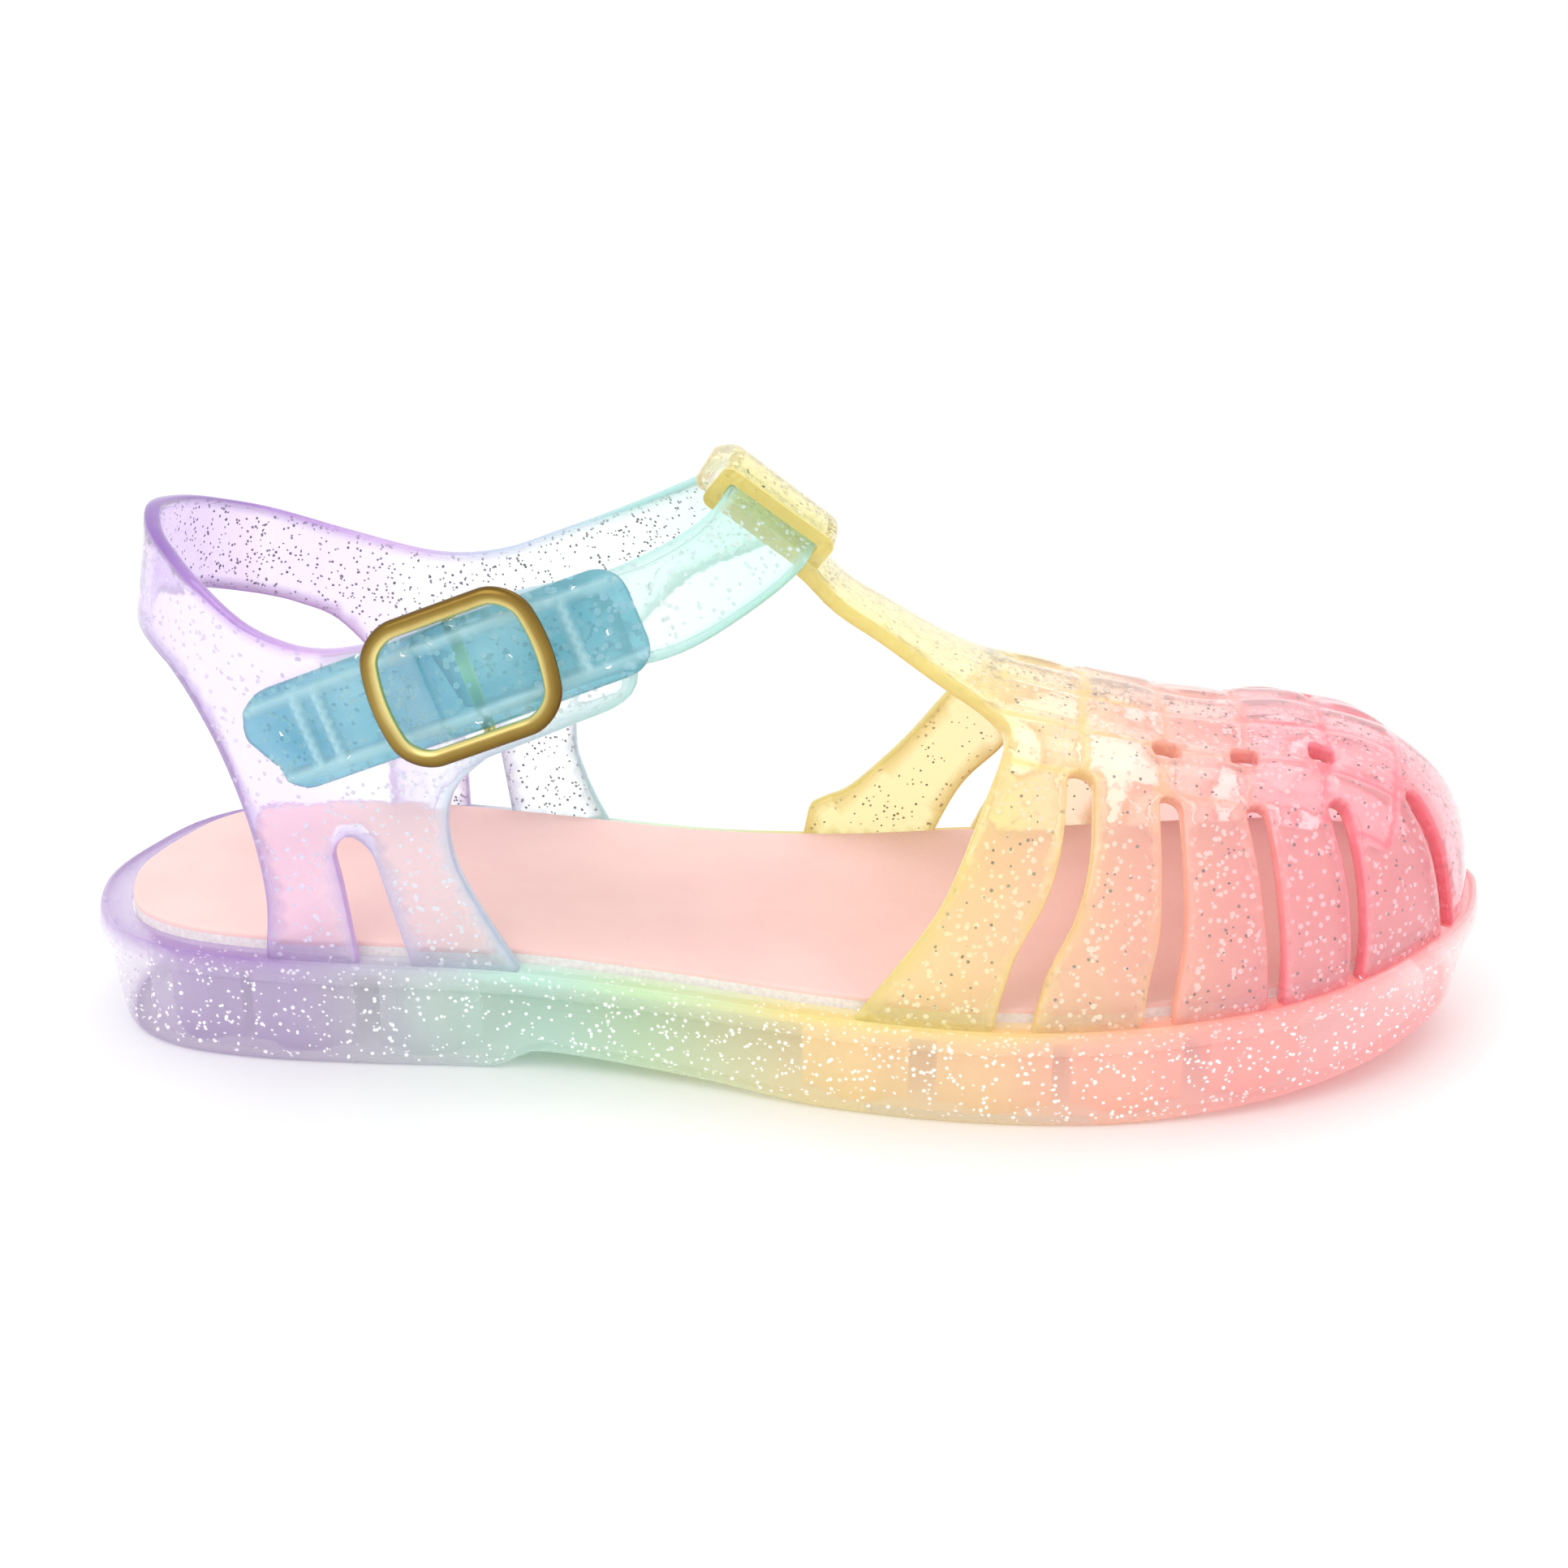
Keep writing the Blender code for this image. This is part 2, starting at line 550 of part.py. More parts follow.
# Ring of heel band, quarters and ankle strap.
# Guides in shares of sole length: x, y, z of the upper edge; x, y, z of a point below it.
# A lower z of None stands on the rim.
RING = [
    (-0.1158, -0.1090, 0.3779, -0.0816, -0.1210, 0.2842),
    (-0.1658, -0.1215, 0.3589, -0.1337, -0.1240, 0.2658),
    (-0.2211, -0.1263, 0.3384, -0.1560, -0.1180, None),
    (-0.2632, -0.1237, 0.3200, -0.2160, -0.1120, None),
    (-0.3079, -0.1184, 0.3111, -0.2820, -0.1100, None),
    (-0.3474, -0.1095, 0.3200, -0.3420, -0.1060, None),
    (-0.3850, -0.0900, 0.3437, -0.4000, -0.1000, None),
    (-0.4110, -0.0600, 0.3568, -0.4420, -0.0680, None),
    (-0.4330, -0.0240, 0.3663, -0.4740, -0.0310, None),
    (-0.4450, 0.0240, 0.3700, -0.4900, 0.0240, None),
    (-0.4400, 0.0780, 0.3600, -0.4760, 0.0880, None),
    (-0.4210, 0.1230, 0.3450, -0.4400, 0.1400, None),
    (-0.3880, 0.1500, 0.3305, -0.3900, 0.1650, None),
    (-0.3316, 0.1605, 0.3111, -0.3300, 0.1700, None),
    (-0.2705, 0.1605, 0.2968, -0.2640, 0.1700, None),
    (-0.2195, 0.1550, 0.3011, -0.2000, 0.1600, None),
    (-0.1674, 0.1395, 0.3226, -0.1400, 0.1500, None),
    (-0.1158, 0.1132, 0.3495, -0.0842, 0.1263, 0.2921),
    (-0.0737, 0.0763, 0.3763, -0.0316, 0.0895, 0.3263),
    (-0.0474, 0.0421, 0.3960, 0.0053, 0.0480, 0.3560),
    (-0.0300, 0.0000, 0.4075, 0.0226, 0.0000, 0.3675),
    (-0.0316, -0.0368, 0.4020, 0.0190, -0.0368, 0.3650),
    (-0.0437, -0.0620, 0.3910, 0.0105, -0.0640, 0.3560),
    (-0.0658, -0.0850, 0.3800, -0.0105, -0.0940, 0.3400),
    (-0.1000, -0.1130, 0.3690, -0.0537, -0.1280, 0.3215),
    (-0.1368, -0.1345, 0.3640, -0.0947, -0.1425, 0.3080),
    (-0.1789, -0.1400, 0.3530, -0.1447, -0.1420, 0.2930),
    (-0.2263, -0.1410, 0.3370, -0.1980, -0.1400, 0.2770)]
LOOP_MID = 20


def ring_guides():
    top, low = [], []
    foot = inset(PLAN, CAGE_INSET)
    for a, b, c, d, e, f in RING:
        top.append(np.array((a, b, c)) * SOLE_LENGTH)
        q = np.array((d, e)) * SOLE_LENGTH
        if f is None:
            q = foot[np.argmin(np.linalg.norm(foot - q, axis=1))]
            low.append((q[0], q[1], float(rim_z(q[0]))))
        else:
            low.append((q[0], q[1], f * SOLE_LENGTH))
    top = np.array(top)
    way = np.array(low) - top
    way /= np.linalg.norm(way, axis=1)[:, None]
    fine = run(np.hstack([top, way]), 12)
    fine[:, 3:] /= np.linalg.norm(fine[:, 3:], axis=1)[:, None]
    mid = fine[:, :3] + fine[:, 3:] * STRAP_WIDTH / 2
    t = np.concatenate([[0], np.cumsum(np.linalg.norm(np.diff(mid, axis=0), axis=1))])
    return t, fine


RING_T, RING_FINE = ring_guides()


def station_t(k):
    """Chart length at a guide, whole or part numbers."""
    return float(np.interp(k * 12, np.arange(len(RING_T)), RING_T))


def ring_surface(t, w):
    t = np.asarray(t, float)
    w = np.asarray(w, float)
    c = np.stack([np.interp(t, RING_T, RING_FINE[:, k]) for k in range(6)], 1)
    over_low = np.minimum(t - RING_T[0], 0)[:, None]
    over_high = np.maximum(t - RING_T[-1], 0)[:, None]
    head = RING_FINE[0] - RING_FINE[1]
    tail = RING_FINE[-1] - RING_FINE[-2]
    head = -head[:3] / np.linalg.norm(head[:3])
    tail = tail[:3] / np.linalg.norm(tail[:3])
    d = c[:, 3:] / np.linalg.norm(c[:, 3:], axis=1)[:, None]
    return c[:, :3] + over_low * head + over_high * tail + d * w[:, None]


def rim_reach(t):
    """Distance below the upper guide at which the wall meets the rim."""
    t = np.atleast_1d(np.asarray(t, float))
    lo = np.zeros(len(t))
    hi = np.full(len(t), 0.09)
    for _ in range(30):
        mid = (lo + hi) / 2
        p = ring_surface(t, mid)
        above = p[:, 2] > rim_z(p[:, 0]) + FOOT_LIFT
        lo = np.where(above, mid, lo)
        hi = np.where(above, hi, mid)
    return lo


# Upper edge of the tab: guide number, distance below the guide line as share of length
TAB_EDGE = [(0.0, 0.020), (0.6, 0.012), (1.6, 0.008), (2.6, 0.006), (3.5, 0.004), (4.5, 0.0)]
VENT_RADIUS = 0.0022


def at(k, w):
    return (station_t(k), w * SOLE_LENGTH)


def foot_at(k):
    t = station_t(k)
    return (t, float(rim_reach(t)[0]))


def ring_regions(step):
    """Outline of the ring laid flat, tab end first, and the arch between the legs."""
    sw = STRAP_WIDTH / SOLE_LENGTH
    top = run([at(k, w) for k, w in TAB_EDGE], 8)
    top = np.vstack([top, [at(k, 0.0) for k in np.arange(4.75, 27.01, 0.25)]])
    strap = [at(k, sw) for k in np.arange(27.0, 17.4, -0.25)]
    strap[0] = (station_t(27.0) - 0.0008, sw * SOLE_LENGTH)
    inner_front = run([at(17.4, sw), at(16.9, sw * 1.08), at(16.3, sw * 1.45), at(15.88, 0.125),
                       at(15.74, 0.165), at(15.80, 0.195), foot_at(16.0)], 6)
    inner_foot = [foot_at(k) for k in np.arange(15.8, 13.4, -0.2)]
    inner_rear = run([foot_at(13.25), at(13.22, 0.180), at(13.30, 0.135), at(13.18, 0.098),
                      at(12.7, sw * 1.06), at(12.1, sw)], 6)
    back = [at(k, sw) for k in np.arange(11.8, 6.8, -0.25)]
    outer_rear = run([at(6.6, sw), at(6.05, sw * 1.15), at(5.55, 0.100), at(5.20, 0.140),
                      at(5.05, 0.190), foot_at(5.12)], 6)
    outer_foot = [foot_at(k) for k in np.arange(4.9, 2.5, -0.2)]
    outer_front = run([foot_at(2.33), at(2.60, 0.205), at(2.72, 0.168), at(2.64, 0.135),
                       at(2.38, 0.115), at(1.9, 0.103)], 6)
    tab = run([at(1.9, 0.103), at(1.0, 0.099), at(0.35, 0.097), at(0.06, 0.086), at(0.0, 0.060),
               at(0.08, 0.030), at(0.6, 0.012)], 6)
    loop = np.vstack([top[8:], strap, inner_front, inner_foot, inner_rear, back, outer_rear,
                      outer_foot, outer_front, tab[1:-1]])
    outer = even(loop, step * 0.8, True)
    holes = []
    for feet, head in (((4.10, 3.48), (3.88, 0.140)), ((14.08, 14.68), (14.36, 0.118))):
        a, b = foot_at(feet[0]), foot_at(feet[1])
        h = at(*head)
        r = VENT_RADIUS
        s = np.sign(b[0] - a[0])
        hole = run([(a[0], a[1] + 0.004), a, (a[0] * 0.4 + (h[0] - s * r) * 0.6, h[1] + 0.006),
                    (h[0] - s * r, h[1] + 0.001), (h[0], h[1] - 0.0014), (h[0] + s * r, h[1] + 0.001),
                    (b[0] * 0.4 + (h[0] + s * r) * 0.6, h[1] + 0.006), b, (b[0], b[1] + 0.004)], 4)
        holes.append(even(hole, step * 0.7, True))
    return outer, holes


# Sleeve at the top of the T-bar, round the ankle strap

def sleeve(rows, corner_steps):
    t0 = station_t(LOOP_MID)
    ts = t0 + np.linspace(-SLEEVE_LENGTH / 2, SLEEVE_LENGTH / 2, rows)

    def frame(t, w, n):
        p = ring_surface(np.full(len(w), t), w)
        h = 0.0004
        dt = ring_surface([t + h], [0.006])[0] - ring_surface([t - h], [0.006])[0]
        dw = ring_surface([t], [0.007])[0] - ring_surface([t], [0.005])[0]
        nrm = np.cross(dt, dw)
        nrm /= np.linalg.norm(nrm)
        return p + np.outer(n, nrm)

    def box(grow_w, top, bottom, radius):
        pts = []
        w0, w1 = -grow_w, STRAP_WIDTH + grow_w
        corners = [(w1 - radius, top - radius), (w0 + radius, top - radius),
                   (w0 + radius, bottom + radius), (w1 - radius, bottom + radius)]
        for k, (cx, cy) in enumerate(corners):
            a0 = k * pi / 2
            for a in np.linspace(a0, a0 + pi / 2, corner_steps):
                pts.append((cx + radius * cos(a), cy + radius * sin(a)))
        return np.array(pts)

    clear = 1.6 * GAP
    grow = clear + SLEEVE_WALL
    out = box(grow, grow, -WALL - grow, SLEEVE_ROUND)
    hole = box(clear, clear, -WALL - clear, EDGE_ROUND)
    m = len(out)
    verts = []
    for t in ts:
        verts += [tuple(p) for p in frame(t, out[:, 0], out[:, 1])]
        verts += [tuple(p) for p in frame(t, hole[:, 0], hole[:, 1])]
    faces = []
    for r in range(rows - 1):
        a, b = r * 2 * m, (r + 1) * 2 * m
        for i in range(m):
            j = (i + 1) % m
            faces.append((a + i, a + j, b + j, b + i))
            faces.append((a + m + j, a + m + i, b + m + i, b + m + j))
    for base, flip in ((0, False), ((rows - 1) * 2 * m, True)):
        for i in range(m):
            j = (i + 1) % m
            f = (base + j, base + i, base + m + i, base + m + j)
            faces.append(f[::-1] if flip else f)
    return mesh_object("sleeve", verts, faces)


# Buckle strap: share of length along the foot, share of length as height, share of the pin's lift
STRIP = [(-0.3280, 0.2481, 0.00), (-0.2975, 0.2615, 0.00), (-0.2670, 0.2748, 0.04),
         (-0.2370, 0.2881, 0.32), (-0.2070, 0.3059, 0.80), (-0.1770, 0.3179, 0.96),
         (-0.1470, 0.3276, 0.50), (-0.1170, 0.3361, 0.08), (-0.0870, 0.3451, 0.00)]
STRIP_SLOPE = 0.40
STRIP_LEAN = -0.20
STRIP_SLANT = 0.0028
STRIP_SEAT = 1.5 * GAP
PIN_LIFT = 2 * PIN_RADIUS + 2 * GAP


def strip_guides():
    """Centre line and lean of the strap's inner face, lying on quarter and ankle strap."""
    t = np.concatenate([np.linspace(RING_T[0], station_t(6), 70),
                        np.linspace(station_t(22), RING_T[-1], 60)])
    w = np.linspace(0, 0.030, 60)
    inner = ring_surface(np.repeat(t[:70], 60), np.tile(w, 70))
    over = ring_surface(np.repeat(t[70:], 30), np.tile(np.linspace(0, STRAP_WIDTH, 30), 60))
    across = np.linspace(-STRIP_WIDTH / 2, STRIP_WIDTH / 2, 7)
    rows = []
    for x, z, lift in STRIP:
        ys = []
        for k in across:
            q = np.array([x * SOLE_LENGTH + STRIP_SLOPE * k, z * SOLE_LENGTH - 0.92 * k])
            best = 0.0
            for cloud in (inner, over):
                gap = np.hypot(cloud[:, 0] - q[0], cloud[:, 2] - q[1])
                near = np.argsort(gap)[:3]
                if gap[near[0]] < 0.0024:
                    best = min(best, float(cloud[near, 1].min()))
            ys.append(best if best < 0 else np.nan)
        y = float(np.nanmin(ys - STRIP_LEAN * across)) - STRIP_SEAT - lift * PIN_LIFT
        d = np.array([STRIP_SLOPE, STRIP_LEAN, -0.92])
        rows.append(np.concatenate([[x * SOLE_LENGTH, y, z * SOLE_LENGTH], d / np.linalg.norm(d)]))
    fine = run(np.array(rows), 10)
    s = np.concatenate([[0], np.cumsum(np.linalg.norm(np.diff(fine[:, :3], axis=0), axis=1))])
    return s, fine


STRIP_S, STRIP_FINE = strip_guides()


def strip_surface(t, w):
    """Inner face of the buckle strap; w runs down across it from its centre line."""
    t = np.asarray(t, float)
    s, fine = STRIP_S, STRIP_FINE
    c = np.stack([np.interp(t, s, fine[:, k]) for k in range(6)], 1)
    over = np.minimum(t, 0)[:, None] * (fine[1, :3] - fine[0, :3]) / s[1]
    tail = (fine[-1, :3] - fine[-2, :3]) / (s[-1] - s[-2])
    over = over + np.maximum(t - s[-1], 0)[:, None] * tail
    return c[:, :3] + over + c[:, 3:] * np.asarray(w)[:, None]


def strip_length():
    return float(STRIP_S[-1])


def strip_loop(step):
    """Outline of the buckle strap: slanted rear end, rounded front end."""
    n = strip_length()
    h = STRIP_WIDTH / 2
    pts = []
    r = STRIP_CORNER
    corners = [(n - r, h - r, r), (r, h - r, r), (1.5 * r - STRIP_SLANT, -h + 1.5 * r, 1.5 * r),
               (n - r, -h + r, r)]
    for k, (cx, cy, radius) in enumerate(corners):
        for a in np.linspace(k * pi / 2, (k + 1) * pi / 2, 6):
            pts.append((cx + radius * cos(a), cy + radius * sin(a)))
    return even(np.array(pts), step * 0.8, True)


# Buckle frame and bar

def buckle_axes():
    """Middle of the strap under the buckle with its along, up and outward directions."""
    t = strip_length() * BUCKLE_SHARE
    c = strip_surface([t], [0.0])[0]
    e = strip_surface([t + 0.003], [0.0])[0] - strip_surface([t - 0.003], [0.0])[0]
    e /= np.linalg.norm(e)
    up = strip_surface([t], [-0.005])[0] - c
    up -= e * (up @ e)
    up /= np.linalg.norm(up)
    out = np.cross(e, up)
    if out[1] > 0:
        out = -out
    return c, e, up, out


def tube_faces(rows, sides, closed):
    faces = []
    for i in range(rows if closed else rows - 1):
        a, b = i * sides, (i + 1) % rows * sides
        for k in range(sides):
            j = (k + 1) % sides
            faces.append((a + k, b + k, b + j, a + j))
    return faces


def buckle(steps, ring_steps):
    """Bowed rounded frame swept round, with the middle pin on two short lugs."""
    c, e, up, out = buckle_axes()
    face = STRIP_THICKNESS + GAP + BUCKLE_BAR / 2 - PIN_RADIUS
    r = BUCKLE_CORNER
    a, b = (BUCKLE_LENGTH - BUCKLE_BAR) / 2, (BUCKLE_HEIGHT - BUCKLE_BAR) / 2
    path = []
    for k, (cx, cy) in enumerate([(a - r, b - r), (r - a, b - r), (r - a, r - b), (a - r, r - b)]):
        for ang in np.linspace(k * pi / 2, (k + 1) * pi / 2, steps):
            path.append((cx + r * cos(ang), cy + r * sin(ang)))
    path = even(np.array(path), (a + b) / (steps * 2), True)
    path[:, 0] += BUCKLE_BOW * (path[:, 0] / a) * (1 - (path[:, 1] / b) ** 2)
    verts = []
    m = len(path)
    tang = np.roll(path, -1, 0) - np.roll(path, 1, 0)
    tang /= np.linalg.norm(tang, axis=1)[:, None]
    nrm = np.stack([tang[:, 1], -tang[:, 0]], 1)
    for i in range(m):
        for k in range(ring_steps):
            ang = 2 * pi * k / ring_steps
            q = path[i] + nrm[i] * BUCKLE_BAR / 2 * cos(ang)
            d = face + BUCKLE_BAR / 2 * 0.85 * sin(ang)
            verts.append(c + e * q[0] + up * q[1] + out * d)
    frame_obj = mesh_object("frame", verts, tube_faces(m, ring_steps, True))
    pin = PIN_RADIUS
    back = -GAP - pin
    line = [(b, face), (b, back + 0.0014), (b - 0.0012, back), (0, back)]
    line = np.array(line + [(-y, d) for y, d in line[-2::-1]])
    verts = []
    tang = np.gradient(line, axis=0)
    tang /= np.linalg.norm(tang, axis=1)[:, None]
    for (y, d), (ty, td) in zip(line, tang):
        for k in range(ring_steps):
            ang = 2 * pi * k / ring_steps
            rise = pin * sin(ang)
            verts.append(c + e * pin * cos(ang) + up * (y - td * rise) + out * (d + ty * rise))
    m = len(line)
    faces = tube_faces(m, ring_steps, False)
    faces.append(tuple(range(ring_steps)))
    faces.append(tuple((m - 1) * ring_steps + k for k in range(ring_steps))[::-1])
    return frame_obj, mesh_object("pin", verts, faces)


# Scene assembly

def material(name, color, roughness, metallic=0.0):
    mat = bpy.data.materials.new(name)
    mat.use_nodes = True
    bsdf = mat.node_tree.nodes["Principled BSDF"]
    bsdf.inputs["Base Color"].default_value = (*color, 1.0)
    bsdf.inputs["Roughness"].default_value = roughness
    bsdf.inputs["Metallic"].default_value = metallic
    mat.diffuse_color = (*color, 1.0)
    return mat


def place(obj, name, collection, mat, smooth_faces=True):
    obj.name = name
    obj.data.name = name
    collection.objects.link(obj)
    obj.data.materials.clear()
    obj.data.materials.append(mat)
    for p in obj.data.polygons:
        p.use_smooth = smooth_faces
    return obj


def join(target, tools, cutters):
    """Union the tools into the target with exact booleans."""
    for tool in tools:
        cutters.objects.link(tool)
        tool.hide_render = True
        tool.display_type = "WIRE"
        mod = target.modifiers.new("join " + tool.name, "BOOLEAN")
        mod.operation = "UNION"
        mod.solver = "EXACT"
        mod.object = tool


def centre(objects):
    """Put the middle of the whole sandal's width on the X axis, as the buckle stands out."""
    ys = [v.co.y for obj in objects for v in obj.data.vertices]
    shift = Matrix.Translation((0, -(min(ys) + max(ys)) / 2, 0))
    for obj in objects:
        obj.data.transform(shift)


def main():
    for obj in list(bpy.data.objects):
        bpy.data.objects.remove(obj, do_unlink=True)
    col = bpy.data.collections.new("jelly_sandal")
    cut = bpy.data.collections.new("cutters")
    bpy.context.scene.collection.children.link(col)
    bpy.context.scene.collection.children.link(cut)

    sole_mat = material("clear_sole", (0.80, 0.76, 0.62), 0.15)
    cage_mat = material("clear_coral", (0.95, 0.62, 0.55), 0.15)
    rear_mat = material("clear_lilac", (0.80, 0.76, 0.88), 0.15)
    insole_mat = material("insole_pink", (0.93, 0.66, 0.63), 0.7)
    strip_mat = material("strap_teal", (0.28, 0.60, 0.68), 0.2)
    metal_mat = material("buckle_gold", (0.56, 0.43, 0.20), 0.35, 1.0)

    sole = place(loft("outsole", sole_profile(), STATIONS), "outsole", col, sole_mat)
    join(sole, [lug("lug_%d" % i, a, b) for i, (a, b) in enumerate(LUGS)], cut)

    base = GAP - DECK_RECESS
    top = base + INSOLE_THICKNESS
    insole = loft("insole", [
        (RIM_LEDGE + GAP, lambda x: rim_z(x) + base),
        (RIM_LEDGE + GAP, lambda x: rim_z(x) + top - EDGE_ROUND),
        (RIM_LEDGE + GAP + EDGE_ROUND, lambda x: rim_z(x) + top)], STATIONS)
    place(insole, "insole", col, insole_mat)

    outer, holes = cage_regions(CHART_STEP)
    zone = [(GROOVES[0] * SOLE_LENGTH, STRIPS[0] * SOLE_LENGTH),
            (GROOVES[-1] * SOLE_LENGTH, STRIPS[-1] * SOLE_LENGTH)]
    verts, tris = fill_chart(outer, holes, CHART_STEP, zone, WEAVE_STEP)
    cage = shell("toe_cage", verts, tris, last_surface, WALL, weave)
    place(cage, "toe_cage", col, cage_mat)
    join(cage, [sleeve(7, 3)], cut)

    outer, holes = ring_regions(CHART_STEP)
    verts, tris = fill_chart(outer, holes, CHART_STEP)
    rear = shell("rear_upper", verts, tris, ring_surface, WALL)
    place(rear, "rear_upper", col, rear_mat)

    verts, tris = fill_chart(strip_loop(CHART_STEP * 0.8), [], CHART_STEP * 0.8)
    strip = shell("buckle_strap", verts, tris, strip_surface, STRIP_THICKNESS)
    place(strip, "buckle_strap", col, strip_mat)

    frame, pin = buckle(6, 8)
    place(frame, "buckle", col, metal_mat)
    join(frame, [pin], cut)
    centre(list(bpy.data.objects))


main()
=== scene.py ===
"""Look of the jelly sandal: clear glittered plastic shaded from purple to coral."""
import bpy
import bmesh
from math import pi, sin, cos
import numpy as np
from mathutils import Matrix, Vector
from mathutils.bvhtree import BVHTree
from mathutils.kdtree import KDTree
from mathutils.geometry import delaunay_2d_cdt


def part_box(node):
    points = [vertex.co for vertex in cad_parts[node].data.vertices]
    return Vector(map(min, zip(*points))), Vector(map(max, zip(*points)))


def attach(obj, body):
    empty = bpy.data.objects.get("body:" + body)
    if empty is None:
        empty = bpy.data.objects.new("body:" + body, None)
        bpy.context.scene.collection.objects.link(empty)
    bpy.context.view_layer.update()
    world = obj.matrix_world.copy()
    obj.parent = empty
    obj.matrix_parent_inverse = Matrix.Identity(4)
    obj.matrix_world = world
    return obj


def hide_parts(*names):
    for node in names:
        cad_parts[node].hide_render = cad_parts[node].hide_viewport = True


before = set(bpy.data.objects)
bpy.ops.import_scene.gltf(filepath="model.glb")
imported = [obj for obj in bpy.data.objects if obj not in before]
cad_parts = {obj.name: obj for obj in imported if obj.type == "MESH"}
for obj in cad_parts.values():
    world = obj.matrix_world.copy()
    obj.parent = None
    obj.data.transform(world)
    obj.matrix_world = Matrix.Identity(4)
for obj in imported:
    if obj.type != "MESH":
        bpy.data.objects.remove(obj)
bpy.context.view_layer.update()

# Driving sizes
SOLE_LENGTH = 0.190
SOLE_WIDTH = 0.0698
HEEL_HEIGHT = 0.0165
BREAST_STEP = 0.0028
TOE_SPRING = 0.0065
DECK_THICKNESS = 0.0030
SKIRT_THICKNESS = 0.0024
SKIRT_DRAFT = 0.0030
RIM_HEIGHT = 0.0030
RIM_LIP = 0.0004
RIM_LEDGE = 0.0046
DECK_RECESS = 0.0012
FOOT_ROUND = 0.0006
INSOLE_THICKNESS = 0.0028
WALL = 0.0021
STRAP_WIDTH = 0.0127
GAP = 0.0003
EDGE_ROUND = 0.0004
CAGE_INSET = 0.0019
SLEEVE_WALL = 0.0018
SLEEVE_LENGTH = 0.0140
SLEEVE_ROUND = 0.0014
STRIP_WIDTH = 0.0130
STRIP_THICKNESS = 0.0019
STRIP_CORNER = 0.0033
BUCKLE_LENGTH = 0.0206
BUCKLE_HEIGHT = 0.0186
BUCKLE_BAR = 0.0022
BUCKLE_CORNER = 0.0034
BUCKLE_BOW = 0.0016
BUCKLE_SHARE = 0.585
PIN_RADIUS = 0.0008
CHART_STEP = 0.0016
WEAVE_STEP = 0.0010
WEAVE_LIFT = 0.0007

# Plan of the sole: share of length, outer-side share of width, inner-side share of width
OUTLINE = [
    (0.000, 0.020, 0.080), (0.012, 0.140, 0.199), (0.035, 0.226, 0.337), (0.075, 0.288, 0.437),
    (0.135, 0.321, 0.494), (0.210, 0.332, 0.499), (0.320, 0.338, 0.461), (0.430, 0.388, 0.418),
    (0.530, 0.456, 0.423), (0.630, 0.499, 0.466), (0.730, 0.494, 0.494), (0.830, 0.434, 0.499),
    (0.905, 0.335, 0.458), (0.955, 0.220, 0.370), (0.985, 0.112, 0.262), (1.000, -0.020, 0.110)]
# Rim line: share of length, share of heel height
RIM = [(0.0, 1.00), (0.1, 0.97), (0.3, 0.925), (0.5, 0.865), (0.65, 0.85), (0.76, 0.89),
       (0.85, 0.97), (0.95, 1.12), (1.0, 1.21)]
# Lifts of the underside: share of length, share of breast step, share of toe spring
UNDERSIDE = [(0.0, 0.0, 0.0), (0.300, 0.0, 0.0), (0.335, 1.0, 0.0), (0.43, 0.62, 0.0),
             (0.56, 0.0, 0.0), (0.72, 0.0, 0.0), (0.80, 0.0, 0.13), (0.90, 0.0, 0.46),
             (1.0, 0.0, 1.0)]
# Ridge of the last under cage and T-bar: share of length, share of sole length as height
RIDGE = [(0.500, 0.374), (0.516, 0.358), (0.527, 0.347), (0.542, 0.3305), (0.576, 0.3084),
         (0.616, 0.2842), (0.656, 0.2674), (0.70, 0.2558), (0.75, 0.2442), (0.80, 0.2357),
         (0.86, 0.2337)]
FAN_SHARE = 0.816
FAN_Y = 0.002
SIDE_POWER = 2.2
TOE_POWER = 2.5
# Steps between points of a curve, way between points of the plan, reach of a normal's difference
CURVE_STEPS = 16
PLAN_STEP = 0.0009
NORMAL_STEP = 0.0002
# Shares of a chart's step: way between points of its outline, inner points' way from it
ALONG_EDGE, OFF_EDGE = 0.8, 0.55


def smooth(x, xs, ys):
    """Monotone cubic through a table."""
    x, xs, ys = (np.asarray(q, float) for q in (x, xs, ys))
    h = np.diff(xs)
    d = np.diff(ys) / h
    m = np.zeros(len(xs))
    m[0], m[-1] = d[0], d[-1]
    for i in range(1, len(xs) - 1):
        if d[i - 1] * d[i] > 0:
            a = 2 * h[i] + h[i - 1]
            b = h[i] + 2 * h[i - 1]
            m[i] = (a + b) / (a / d[i - 1] + b / d[i])
    k = np.clip(np.searchsorted(xs, x) - 1, 0, len(xs) - 2)
    t = np.clip((x - xs[k]) / h[k], 0, 1)
    return ((2 * t**3 - 3 * t**2 + 1) * ys[k] + (t**3 - 2 * t**2 + t) * h[k] * m[k]
            + (3 * t**2 - 2 * t**3) * ys[k + 1] + (t**3 - t**2) * h[k] * m[k + 1])


def run(points, steps):
    """Open Catmull-Rom curve through points, evenly stepped between them."""
    p = np.asarray(points, float)
    q = np.vstack([2 * p[0] - p[1], p, 2 * p[-1] - p[-2]])
    out = []
    for i in range(len(p) - 1):
        a, b, c, d = q[i], q[i + 1], q[i + 2], q[i + 3]
        for t in np.linspace(0, 1, steps, endpoint=False):
            out.append(0.5 * (2 * b + (c - a) * t + (2 * a - 5 * b + 4 * c - d) * t**2
                              + (3 * b - 3 * c + d - a) * t**3))
    out.append(p[-1])
    return np.array(out)


def lengths(points):
    """Way along a line from its first point to each point."""
    return np.concatenate([[0], np.cumsum(np.linalg.norm(np.diff(points, axis=0), axis=1))])


